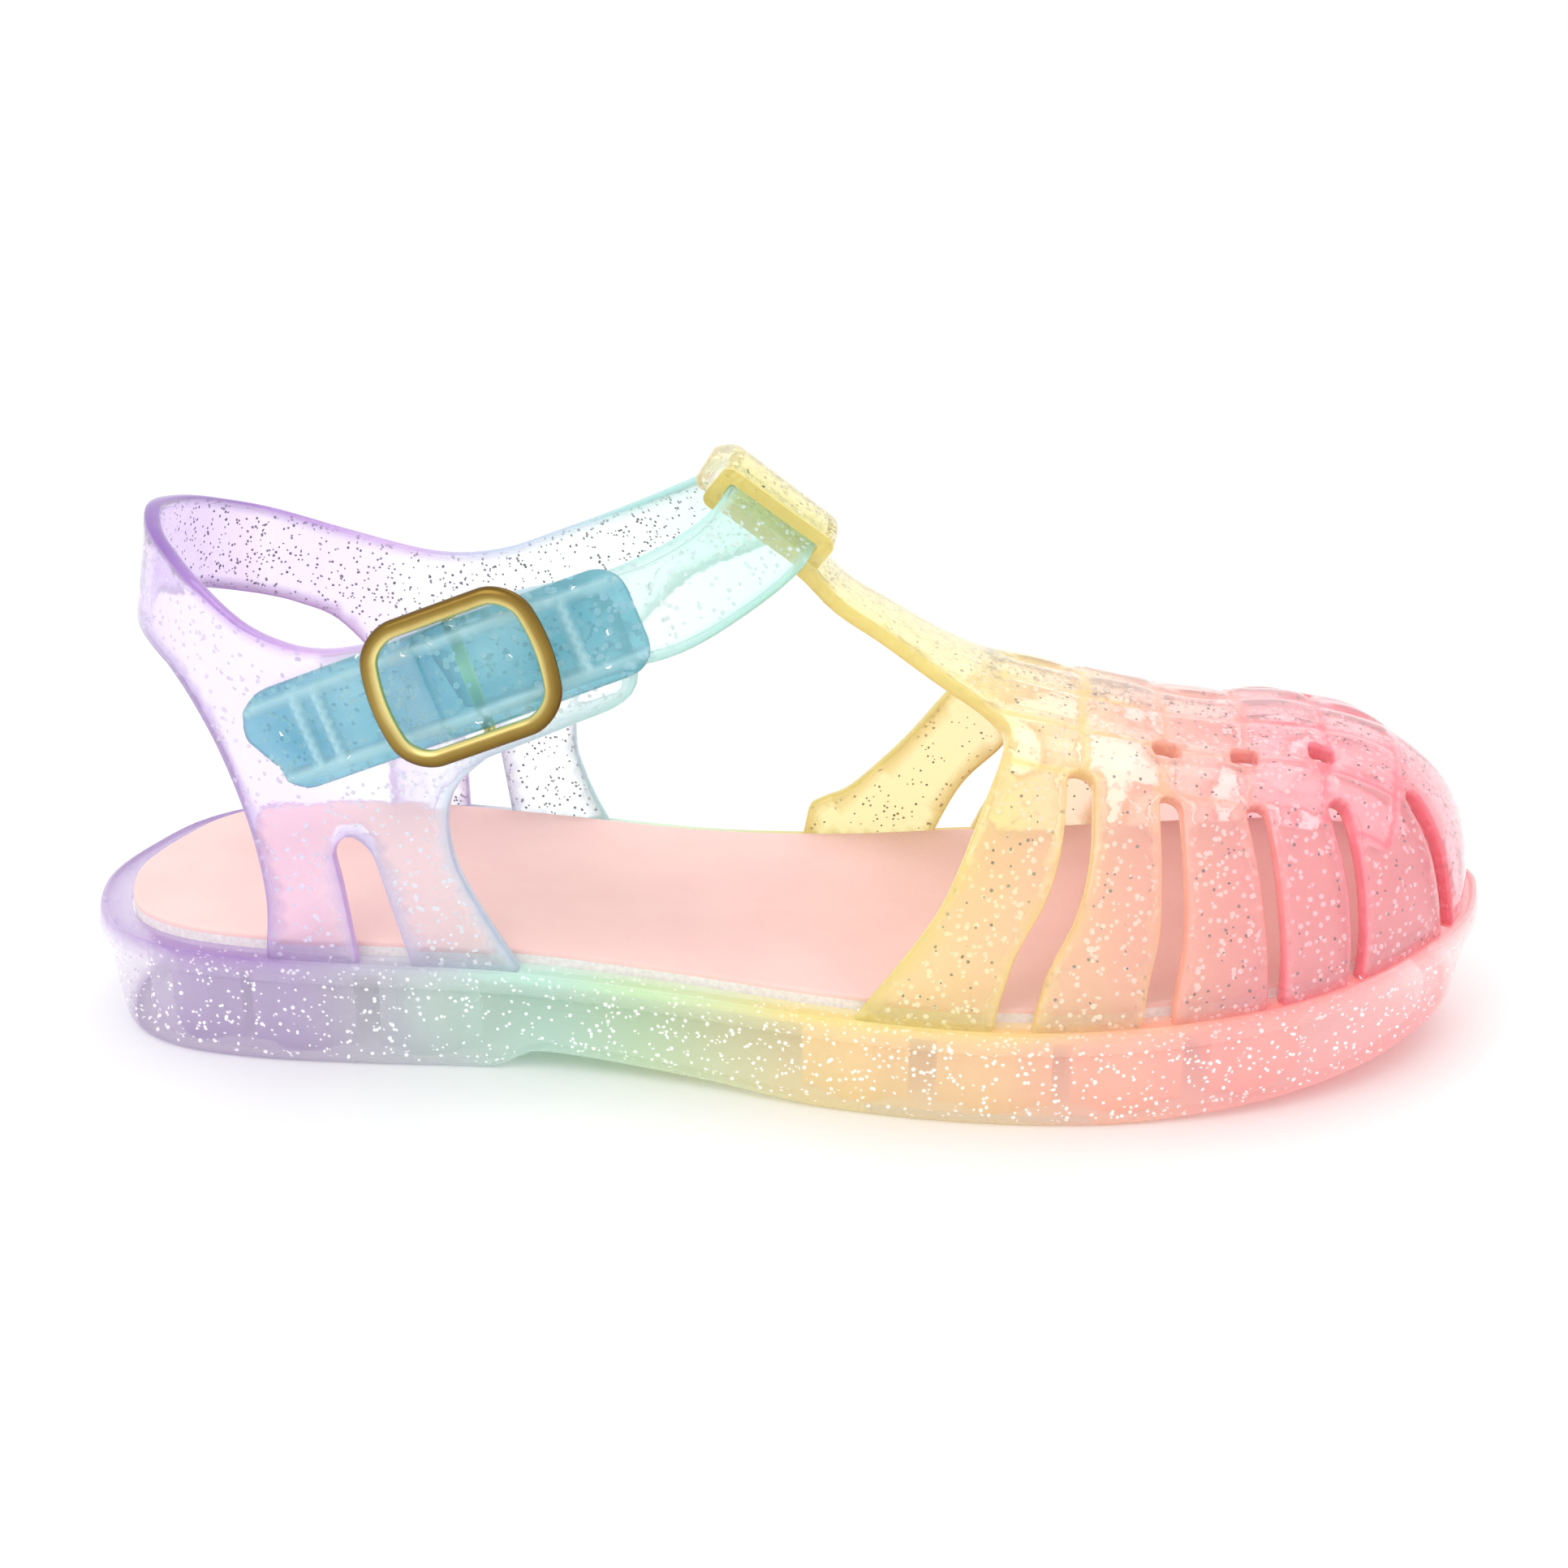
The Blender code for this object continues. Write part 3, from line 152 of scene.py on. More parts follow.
def along(t, ts, rows):
    """Rows of a table read at t, where ts is the place of each row."""
    return np.stack([np.interp(t, ts, rows[:, k]) for k in range(rows.shape[1])], 1)


def unit(rows):
    """One vector or rows of them at length 1."""
    return rows / np.linalg.norm(rows, axis=-1, keepdims=True)


def even(points, step, closed=False):
    """Same curve with points one step apart."""
    p = np.asarray(points, float)
    if closed:
        p = np.vstack([p, p[:1]])
    d = lengths(p)
    out = along(np.linspace(0, d[-1], max(2, int(round(d[-1] / step))) + 1), d, p)
    return out[:-1] if closed else out


def rounded(corners, steps):
    """Loop round four quarter arcs, each given by its centre and radius."""
    return np.array([(cx + r * cos(a), cy + r * sin(a)) for k, (cx, cy, r) in enumerate(corners)
                     for a in np.linspace(k * pi / 2, (k + 1) * pi / 2, steps)])


def box_loop(x0, x1, y0, y1, r, steps):
    """Rectangle with round corners."""
    return rounded([(x1 - r, y1 - r, r), (x0 + r, y1 - r, r), (x0 + r, y0 + r, r),
                    (x1 - r, y0 + r, r)], steps)


def sole_outline():
    size = np.array([SOLE_LENGTH, SOLE_WIDTH])
    low = [(s - 0.5, -a) for s, a, b in OUTLINE]
    up = [(s - 0.5, b) for s, a, b in OUTLINE]
    pts = np.array(low + up[::-1]) * size
    wrap = np.vstack([pts[-3:], pts, pts[:4]])
    c = even(run(wrap, CURVE_STEPS)[3 * CURVE_STEPS:-3 * CURVE_STEPS], PLAN_STEP)[:-1]
    lo, hi = c.min(0), c.max(0)
    return (c - (lo + hi) / 2) * size / (hi - lo)


def inset(loop, d):
    t = unit(np.roll(loop, -2, 0) - np.roll(loop, 2, 0))
    return loop + np.stack([-t[:, 1], t[:, 0]], 1) * d


PLAN = sole_outline()


def half_rows(d, us):
    """x, outer-side y and inner-side y of the plan inset by d, at shares of its length."""
    c = inset(PLAN, d)
    c = np.roll(c, -int(np.argmin(c[:, 0])), 0)
    k = int(np.argmax(c[:, 0]))
    low = c[:k + 1]
    up = np.vstack([c[k:], c[:1]])[::-1]
    x = c[0, 0] + (c[k, 0] - c[0, 0]) * np.asarray(us, float)
    rows = []
    for side in (low, up):
        grow = np.maximum.accumulate(side[:, 0])
        keep = np.concatenate([[True], np.diff(grow) > 1e-9])
        rows.append(np.interp(x, side[keep, 0], side[keep, 1]))
    return x, rows[0], rows[1]


def share(x):
    return np.clip(np.asarray(x, float) / SOLE_LENGTH + 0.5, 0, 1)


def looked_up(x, rows, k=1):
    """Column k of a table whose first column is the share of the sole's length."""
    return smooth(share(x), [r[0] for r in rows], [r[k] for r in rows])


def rim_z(x):
    return looked_up(x, RIM) * HEEL_HEIGHT


def floor_z(x):
    return looked_up(x, UNDERSIDE) * BREAST_STEP + looked_up(x, UNDERSIDE, 2) * TOE_SPRING


def side_y(x, d, side):
    us = (np.asarray(x, float) + SOLE_LENGTH / 2 - d) / (SOLE_LENGTH - 2 * d)
    _, a, b = half_rows(d, np.clip(us, 0, 1))
    return a if side < 0 else b


def mesh_object(name, verts, faces):
    mesh = bpy.data.meshes.new(name)
    mesh.from_pydata([tuple(map(float, v)) for v in verts], [], [tuple(map(int, f)) for f in faces])
    mesh.validate()
    bm = bmesh.new()
    bm.from_mesh(mesh)
    bmesh.ops.remove_doubles(bm, verts=bm.verts, dist=0.00001)
    bmesh.ops.recalc_face_normals(bm, faces=bm.faces)
    bm.to_mesh(mesh)
    bm.free()
    return bpy.data.objects.new(name, mesh)


def quads(rows, m, closed=False):
    """Faces between rings of m points each; closed joins the last ring to the first."""
    return [(r * m + i, r * m + (i + 1) % m, (r + 1) % rows * m + (i + 1) % m, (r + 1) % rows * m + i)
            for r in range(rows if closed else rows - 1) for i in range(m)]


# Stations of every ring round the plan, closer at heel and toe
STATIONS = (1 - np.cos(np.linspace(0, pi, 141))) / 2


def loft(name, profile, closed=False):
    """Body from rings round the plan. Rows: inset, height line, height above it.
    It has end faces or, when closed, its last ring joins its first."""
    n = len(STATIONS)
    m = 2 * n - 2
    verts = []
    for d, line, above in profile:
        x, low, up = half_rows(d, STATIONS)
        z = line(x) + above
        verts += list(zip(x, low, z)) + list(zip(x, up, z))[-2:0:-1]
    faces = quads(len(profile), m, closed)
    for base, flip in () if closed else ((0, False), ((len(profile) - 1) * m, True)):
        for i in range(n - 1):
            quad = [i, i + 1, (m - i - 1) % m, (m - i) % m]
            face = [base + q for k, q in enumerate(quad) if q not in quad[:k]]
            faces.append(tuple(face[::-1] if flip else face))
    return mesh_object(name, verts, faces)


def inside(points, loop):
    x, y = points[:, 0], points[:, 1]
    hit = np.zeros(len(points), bool)
    for (x0, y0), (x1, y1) in zip(loop, np.roll(loop, -1, 0)):
        if y0 != y1:
            hit ^= ((y0 > y) != (y1 > y)) & (x < (x1 - x0) * (y - y0) / (y1 - y0) + x0)
    return hit


def within(points, outer, holes):
    keep = inside(points, outer)
    for h in holes:
        keep &= ~inside(points, h)
    return keep


def edge_distance(points, loops):
    best = np.full(len(points), 9.0)
    for loop in loops:
        for p, q in zip(loop, np.roll(loop, -1, 0)):
            e = q - p
            t = np.clip(((points - p) @ e) / max(e @ e, 1e-18), 0, 1)
            best = np.minimum(best, np.linalg.norm(points - p - t[:, None] * e, axis=1))
    return best


def hex_grid(lo, hi, step):
    grid = []
    for k, y in enumerate(np.arange(lo[1], hi[1], step * 0.87)):
        xs = np.arange(lo[0] + (step / 2 if k % 2 else 0), hi[0], step)
        grid.append(np.stack([xs, np.full(len(xs), y)], 1))
    return np.vstack(grid)


def fill_chart(outer, holes, step, fine=None, fine_step=None):
    """Triangles over a flat region: outer loop less the holes, which may cross its edge.
    Inside the box fine, given by two corners, points stand fine_step apart."""
    loops = [outer] + list(holes)
    grid = hex_grid(outer.min(0), outer.max(0), step)
    if fine is not None:
        lo, hi = np.array(fine[0]), np.array(fine[1])
        grid = grid[~np.all((grid > lo) & (grid < hi), axis=1)]
        grid = np.vstack([grid, hex_grid(lo + fine_step / 2, hi, fine_step)])
    grid = grid[within(grid, outer, holes)]
    grid = grid[edge_distance(grid, loops) > OFF_EDGE * step]
    pts, edges = [], []
    for loop in loops:
        k = len(pts)
        pts += list(loop)
        edges += [(k + i, k + (i + 1) % len(loop)) for i in range(len(loop))]
    pts += list(grid)
    out = delaunay_2d_cdt([Vector((p[0] * 100, p[1] * 100)) for p in pts], edges, [], 0, 1e-5)
    verts = np.array([(v.x, v.y) for v in out[0]]) / 100
    tris = np.array([tuple(f) for f in out[2] if len(f) == 3])
    e1 = verts[tris[:, 1]] - verts[tris[:, 0]]
    e2 = verts[tris[:, 2]] - verts[tris[:, 0]]
    area = e1[:, 0] * e2[:, 1] - e1[:, 1] * e2[:, 0]
    keep = within(verts[tris].mean(1), outer, holes) & (np.abs(area) > 1e-10)
    tris, area = tris[keep], area[keep]
    tris[area < 0] = tris[area < 0][:, ::-1]
    used = np.unique(tris)
    index = np.full(len(verts), -1)
    index[used] = np.arange(len(used))
    return verts[used], index[tris]


EDGE_STEPS = 5


def shell(name, chart, tris, surface, thickness, relief=None, ridge=None):
    """Wall over a chart: surface gives the outer face, the wall lies inside it.
    Relief raises the outer face, ridge the inner one."""
    u, v = chart.T
    h = NORMAL_STEP
    p = surface(u, v)
    nrm = unit(np.cross(surface(u + h, v) - surface(u - h, v), surface(u, v + h) - surface(u, v - h)))
    outer = p + nrm * np.reshape(relief(chart) if relief else 0.0, (-1, 1))
    inner = p - nrm * np.reshape(thickness + (ridge(chart) if ridge else 0.0), (-1, 1))
    n = len(p)
    edges = dict.fromkeys((t[k], t[(k + 1) % 3]) for t in tris for k in range(3))
    rim = [(a, b) for a, b in edges if (b, a) not in edges]
    side = {}
    for a, b in rim:
        e = unit(outer[b] - outer[a])
        for k in (a, b):
            side[k] = side.get(k, np.zeros(3)) + np.cross(e, nrm[k])
    order = sorted(side)
    verts = list(outer) + list(inner)
    ring = {k: [k] for k in order}
    for r in range(1, EDGE_STEPS):
        ang = pi * r / EDGE_STEPS
        for k in order:
            out = side[k] / max(np.linalg.norm(side[k]), 1e-9)
            mid = (outer[k] + inner[k]) / 2
            half = (outer[k] - inner[k]) / 2
            ring[k].append(len(verts))
            verts.append(mid + half * cos(ang) + out * EDGE_ROUND * sin(ang))
    for k in order:
        ring[k].append(n + k)
    faces = list(tris) + [n + t[::-1] for t in tris]
    for a, b in rim:
        faces += [(ring[b][r], ring[a][r], ring[a][r + 1], ring[b][r + 1]) for r in range(EDGE_STEPS)]
    return mesh_object(name, verts, faces)


# Sole and insole

UNDER = DECK_RECESS + DECK_THICKNESS
FOOT_INSET = SKIRT_DRAFT + FOOT_ROUND
INNER_WALL = FOOT_INSET + SKIRT_THICKNESS
# Skirt from the deck over the lip, down and up again inside: inset, height line, height above
# the line, share of the look of a cut edge
SKIRT = [
    (RIM_LEDGE, rim_z, 0.0, 0.7),
    (CAGE_INSET - 1.5 * RIM_LIP, rim_z, 0.0, 1.0),
    (CAGE_INSET - 2.5 * RIM_LIP, rim_z, RIM_LIP, 1.0),
    (RIM_LIP, rim_z, RIM_LIP / 2, 0.9),
    (0.0, rim_z, -0.25 * RIM_HEIGHT, 0.55),
    (0.0, rim_z, -0.80 * RIM_HEIGHT, 0.12),
    (0.25 * SKIRT_DRAFT, rim_z, -RIM_HEIGHT, 0.0),
    (SKIRT_DRAFT - FOOT_ROUND, floor_z, 2.3 * FOOT_ROUND, 0.0),
    (SKIRT_DRAFT, floor_z, FOOT_ROUND / 1.5, 0.5),
    (FOOT_INSET, floor_z, 0.0, 0.9),
    (INNER_WALL, floor_z, 0.0, 0.6),
    (INNER_WALL - 0.0002, rim_z, -UNDER - 0.0010, 0.0),
    (RIM_LEDGE, rim_z, 0.0001 - DECK_RECESS, 0.0)]


# Lugs: share of length at back and front edge of each cross bar
LUGS = [(0.047, 0.117), (0.125, 0.200), (0.218, 0.290), (0.520, 0.593), (0.612, 0.690),
        (0.703, 0.779), (0.798, 0.862)]
LUG_SET_BACK = 0.0085
LUG_BUMP = 0.0024


def lug(name, s0, s1):
    """Cross bar under the deck with a rounded nose on each side."""
    xs = np.linspace((s0 - 0.5) * SOLE_LENGTH, (s1 - 0.5) * SOLE_LENGTH, 7)
    low = side_y(xs, LUG_SET_BACK, -1)
    up = side_y(xs, LUG_SET_BACK, 1)
    nose = np.array([0, 0, 0.8, 1, 0.8, 0, 0]) * LUG_BUMP
    loop = list(zip(xs, low - nose)) + list(zip(xs[::-1], (up + nose)[::-1]))
    n = len(loop)
    top = [(x, y, rim_z(x) - DECK_RECESS - DECK_THICKNESS / 2) for x, y in loop]
    bottom = [(x, y, floor_z(x)) for x, y in loop]
    faces = [(i, (i + 1) % n, n + (i + 1) % n, n + i) for i in range(n)]
    h = n // 2
    for base in (0, n):
        faces += [(base + i, base + i + 1, base + n - 2 - i, base + n - 1 - i) for i in range(h - 1)]
    return mesh_object(name, top + bottom, faces)


# Toe cage on the last

ARC = 96


def ridge_z(x):
    return looked_up(x, RIDGE) * SOLE_LENGTH


FAN_X = (FAN_SHARE - 0.5) * SOLE_LENGTH
FOOT_LIFT = -GAP


def last_rays(u, v):
    """Origin, direction, radius, foot and top heights, power and reach for chart points."""
    u = np.asarray(u, float)
    v = np.asarray(v, float)
    body = u <= FAN_X
    oy = np.interp(u, [0.0, 0.030, FAN_X], [-0.0005, 0.0005, FAN_Y])
    side = np.where(v >= 0, 1.0, -1.0)
    us = np.maximum(u, -0.02)
    foot = np.where(side > 0, side_y(us, CAGE_INSET, 1), side_y(us, CAGE_INSET, -1))
    loop = inset(PLAN, CAGE_INSET)
    w = loop - np.array([FAN_X, FAN_Y])
    ang = np.arctan2(w[:, 1], w[:, 0])
    k = np.argsort(ang)
    al = np.arctan2(v, u - FAN_X)
    radius = np.interp(al, ang[k], np.linalg.norm(w, axis=1)[k])
    a = np.where(body, np.abs(foot - oy), radius)
    ex = np.where(body, 0.0, np.cos(al))
    ey = np.where(body, side, np.sin(al))
    ox = np.where(body, u, FAN_X)
    oy = np.where(body, oy, FAN_Y)
    reach = np.where(body, np.abs(v), np.hypot(u - FAN_X, v))
    foot_z = rim_z(ox + ex * a) + FOOT_LIFT
    top = np.where(body, ridge_z(us), ridge_z(FAN_X))
    power = np.where(body, SIDE_POWER, SIDE_POWER + (TOE_POWER - SIDE_POWER) * np.maximum(ex, 0))
    return ox, oy, ex, ey, a, foot_z, top - foot_z, power, reach


def quarter(a, high, power):
    """Superellipse from ridge to foot: across and up as shares, and the length of each step."""
    f = np.linspace(0, pi / 2, ARC + 1)
    s = np.sin(f)[None, :] ** (2 / power[:, None])
    c = np.cos(f)[None, :] ** (2 / power[:, None])
    return s, c, np.hypot(np.diff(s, axis=1) * a[:, None], np.diff(c, axis=1) * high[:, None])


def last_surface(u, v):
    """Chart (u along the foot, v across from the ridge, true length) to the outer face."""
    ox, oy, ex, ey, a, foot_z, high, power, reach = last_rays(u, v)
    out = np.zeros((len(a), 3))
    s, c, step = quarter(a, high, power)
    arc = np.concatenate([np.zeros((len(a), 1)), np.cumsum(step, axis=1)], axis=1)
    for i in range(len(a)):
        ss = np.interp(reach[i], arc[i], s[i])
        cc = np.interp(reach[i], arc[i], c[i])
        over = max(0.0, reach[i] - arc[i, -1])
        out[i] = (ox[i] + ex[i] * a[i] * ss, oy[i] + ey[i] * a[i] * ss,
                  foot_z[i] + high[i] * cc - over)
    return out


def foot_reach(u, v):
    """Chart length from the ridge to the foot in the direction of one chart point."""
    rays = last_rays([u], [v])
    return float(quarter(rays[4], rays[6], rays[7])[2].sum(1)[0])


def foot_line(side, u0):
    """Chart points along the foot of the cage from u0 forward to the toe."""
    pts = []
    for u in np.linspace(u0, FAN_X, 16):
        pts.append((u, side * foot_reach(u, side * 0.01)))
    for al in np.linspace(pi / 2, 0, 24)[1:]:
        r = foot_reach(FAN_X + 0.01 * cos(al), side * 0.01 * sin(al))
        pts.append((FAN_X + r * cos(al), side * r * sin(al)))
    return pts


# Cage outline and slots, shares of sole length (u from mid length, v across from the ridge)
T_BAR_EDGE = [(0.018, 0.036), (0.042, 0.036), (0.074, 0.040), (0.110, 0.050), (0.140, 0.064),
              (0.1545, 0.082), (0.1530, 0.106), (0.1430, 0.140), (0.1350, 0.165),
              (0.1210, 0.205), (0.1080, 0.235), (0.0840, 0.280), (0.0560, 0.330)]
# The inner-side ribs stand further back on the rim
INNER_SET_BACK = 0.038
SLOTS = [
    [(0.2032, 0.114), (0.2000, 0.163), (0.1900, 0.205), (0.1690, 0.255), (0.1500, 0.345)],
    [(0.2629, 0.118), (0.2640, 0.203), (0.2580, 0.250), (0.2520, 0.330)],
    [(0.3210, 0.116), (0.3340, 0.180), (0.3440, 0.228), (0.3520, 0.300)],
    [(0.3815, 0.101), (0.4130, 0.160), (0.4310, 0.192), (0.4560, 0.255)],
    [(0.4450, 0.060), (0.4830, 0.080), (0.5130, 0.091), (0.5560, 0.098)]]
SLOT_WIDTHS = [0.0040, 0.0034, 0.0034, 0.0036, 0.0036]
SLOT_FLARE = 1.35
WINDOWS = [(0.2618, 0.0708), (0.3150, 0.0680), (0.3695, 0.0548)]
WINDOW_SIZE = (0.0040, 0.0034)


def skewed(points, side):
    p = np.array(points, float)
    if side > 0:
        reach = np.clip(p[:, 1] / 0.28, 0, 1.2) ** 1.3
        p[:, 0] -= INNER_SET_BACK * reach * np.clip(1 - (p[:, 0] - 0.16) / 0.16, 0, 1)
    return p


# Weave on top of the cage: grooves between ribs along the ridge, edges of the long strips
# across it, as shares of length
GROOVES = np.array([0.150, 0.210, 0.264, 0.320, 0.376, 0.430])
GROOVE_LEAN = -0.10
STRIPS = np.array([-0.112, -0.069, -0.023, 0.023, 0.069, 0.112])
# Share of a strip's half width that slopes down, share of a half wave in its arch, its flatness
WEAVE_SLOPE, WEAVE_ARCH, WEAVE_FLAT = 0.16, 0.92, 0.8


def weave(chart):
    """Height of the raised strips: at each crossing one strip lies over the other."""
    u = chart[:, 0] / SOLE_LENGTH - GROOVE_LEAN * np.abs(chart[:, 1]) / SOLE_LENGTH * 0.5
    v = chart[:, 1] / SOLE_LENGTH

    def place(q, lines):
        """Number of the field and the place in it, from -1 to 1."""
        k = np.clip(np.searchsorted(lines, q) - 1, 0, len(lines) - 2)
        return k, np.clip((q - lines[k]) / (lines[k + 1] - lines[k]), 0, 1) * 2 - 1

    def strip(across, length):
        flat = np.clip((1 - np.abs(across)) / WEAVE_SLOPE, 0, 1)
        return flat * np.cos(length * pi / 2 * WEAVE_ARCH) ** WEAVE_FLAT

    i, a = place(u, GROOVES)
    j, c = place(v, STRIPS)
    lift = np.where((i + j) % 2 == 0, strip(a, c), strip(c, a))
    return WEAVE_LIFT * lift * ((u > GROOVES[0]) & (u < GROOVES[-1]) & (np.abs(v) < STRIPS[-1]))


def ribbon_loop(points, width, flare, side):
    """Closed loop round a centre line with a round head."""
    c = run(skewed(points, side) * SOLE_LENGTH, CURVE_STEPS)
    t = unit(np.gradient(c, axis=0))
    nrm = np.stack([-t[:, 1], t[:, 0]], 1)
    w = width / 2 * np.linspace(1, flare, len(c))[:, None]
    head = [c[0] + nrm[0] * w[0] * sin(a) - t[0] * w[0] * cos(a)
            for a in np.linspace(-pi / 2, pi / 2, 11)[1:-1]]
    loop = np.vstack([(c + nrm * w), (c - nrm * w)[::-1], head])
    loop[:, 1] *= side
    return even(loop, CHART_STEP * 0.55, True)


def window_loop(u, v, side):
    a, b = WINDOW_SIZE[0] / 2, WINDOW_SIZE[1] / 2
    loop = [(u * SOLE_LENGTH + a * np.sign(cos(t)) * abs(cos(t)) ** 0.6,
             side * (v * SOLE_LENGTH + b * np.sign(sin(t)) * abs(sin(t)) ** 0.6))
            for t in np.linspace(0, 2 * pi, 24, endpoint=False) + 0.3]
    return np.array(loop)


def cage_regions(step):
    """Outline of the cage laid flat, its slots and its windows."""
    loops, holes = {}, []
    for side in (-1, 1):
        edge = run(skewed(T_BAR_EDGE, side) * SOLE_LENGTH, 6)
        end = edge[-1, 0]
        e = edge[:-1] * np.array([1, side])
        r = foot_reach(end, side * 0.01)
        e = e[np.abs(e[:, 1]) < r - 0.002]
        loops[side] = np.vstack([e, [(end, side * r)], foot_line(side, end)[1:]])
        holes += [ribbon_loop(pts, w, SLOT_FLARE, side) for pts, w in zip(SLOTS, SLOT_WIDTHS)]
        holes += [window_loop(u, v, side) for u, v in WINDOWS]
    return even(np.vstack([loops[-1], loops[1][::-1][1:]]), step * ALONG_EDGE, True), holes


# Ring of heel band, quarters and ankle strap.
# Guides in shares of sole length: x, y, z of the upper edge; x, y, z of a point below it.
# A lower z of None stands on the rim.
RING = [
    (-0.1158, -0.1090, 0.3779, -0.0816, -0.1210, 0.2842),
    (-0.1658, -0.1215, 0.3589, -0.1337, -0.1240, 0.2658),
    (-0.2211, -0.1263, 0.3384, -0.1560, -0.1180, None),
    (-0.2632, -0.1237, 0.3200, -0.2160, -0.1120, None),
    (-0.3079, -0.1184, 0.3111, -0.2820, -0.1100, None),
    (-0.3474, -0.1095, 0.3200, -0.3420, -0.1060, None),
    (-0.3850, -0.0900, 0.3437, -0.4000, -0.1000, None),
    (-0.4110, -0.0600, 0.3568, -0.4420, -0.0680, None),
    (-0.4330, -0.0240, 0.3663, -0.4740, -0.0310, None),
    (-0.4450, 0.0240, 0.3700, -0.4900, 0.0240, None),
    (-0.4400, 0.0780, 0.3600, -0.4760, 0.0880, None),
    (-0.4210, 0.1230, 0.3450, -0.4400, 0.1400, None),
    (-0.3880, 0.1500, 0.3305, -0.3900, 0.1650, None),
    (-0.3316, 0.1605, 0.3111, -0.3300, 0.1700, None),
    (-0.2705, 0.1605, 0.2968, -0.2640, 0.1700, None),
    (-0.2195, 0.1550, 0.3011, -0.2000, 0.1600, None),
    (-0.1674, 0.1395, 0.3226, -0.1400, 0.1500, None),
    (-0.1158, 0.1132, 0.3495, -0.0842, 0.1263, 0.2921),
    (-0.0737, 0.0763, 0.3763, -0.0316, 0.0895, 0.3263),
    (-0.0474, 0.0421, 0.3960, 0.0053, 0.0480, 0.3560),
    (-0.0300, 0.0000, 0.4075, 0.0226, 0.0000, 0.3675),
    (-0.0316, -0.0368, 0.4020, 0.0190, -0.0368, 0.3650),
    (-0.0437, -0.0620, 0.3910, 0.0105, -0.0640, 0.3560),
    (-0.0658, -0.0850, 0.3800, -0.0105, -0.0940, 0.3400),
    (-0.1000, -0.1130, 0.3690, -0.0537, -0.1280, 0.3215),
    (-0.1368, -0.1345, 0.3640, -0.0947, -0.1425, 0.3080),
    (-0.1789, -0.1400, 0.3530, -0.1447, -0.1420, 0.2930),
    (-0.2263, -0.1410, 0.3370, -0.1980, -0.1400, 0.2770)]
LOOP_MID = 20
RING_STEPS = 12


def ring_guides():
    top, low = [], []
    foot = inset(PLAN, CAGE_INSET)
    for a, b, c, d, e, f in RING:
        top.append(np.array((a, b, c)) * SOLE_LENGTH)
        q = np.array((d, e)) * SOLE_LENGTH
        if f is None:
            q = foot[np.argmin(np.linalg.norm(foot - q, axis=1))]
            low.append((q[0], q[1], float(rim_z(q[0]))))
        else:
            low.append((q[0], q[1], f * SOLE_LENGTH))
    top = np.array(top)
    fine = run(np.hstack([top, unit(np.array(low) - top)]), RING_STEPS)
    fine[:, 3:] = unit(fine[:, 3:])
    return lengths(fine[:, :3] + fine[:, 3:] * STRAP_WIDTH / 2), fine


RING_T, RING_FINE = ring_guides()


def station_t(k):
    """Chart length at a guide, whole or part numbers."""
    return float(np.interp(k * RING_STEPS, np.arange(len(RING_T)), RING_T))


def ring_surface(t, w):
    """Outer face at chart length t and w below the upper edge, run on straight past both ends."""
    t, w = np.asarray(t, float), np.asarray(w, float)
    c = along(t, RING_T, RING_FINE)
    head = unit(RING_FINE[1, :3] - RING_FINE[0, :3]) * np.minimum(t - RING_T[0], 0)[:, None]
    tail = unit(RING_FINE[-1, :3] - RING_FINE[-2, :3]) * np.maximum(t - RING_T[-1], 0)[:, None]
    return c[:, :3] + head + tail + unit(c[:, 3:]) * w[:, None]


def rim_reach(t):
    """Distance below the upper guide at which the wall meets the rim."""
    t = np.atleast_1d(np.asarray(t, float))
    lo = np.zeros(len(t))
    hi = np.full(len(t), 0.09)
    for _ in range(30):
        mid = (lo + hi) / 2
        p = ring_surface(t, mid)
        above = p[:, 2] > rim_z(p[:, 0]) + FOOT_LIFT
        lo = np.where(above, mid, lo)
        hi = np.where(above, hi, mid)
    return lo


# Upper edge of the tab: guide number, distance below the guide line as share of length
TAB_EDGE = [(0.0, 0.020), (0.6, 0.012), (1.6, 0.008), (2.6, 0.006), (3.5, 0.004), (4.5, 0.0)]
VENT_RADIUS = 0.0022


def at(k, w):
    return (station_t(k), w * SOLE_LENGTH)


def foot_at(k):
    t = station_t(k)
    return (t, float(rim_reach(t)[0]))


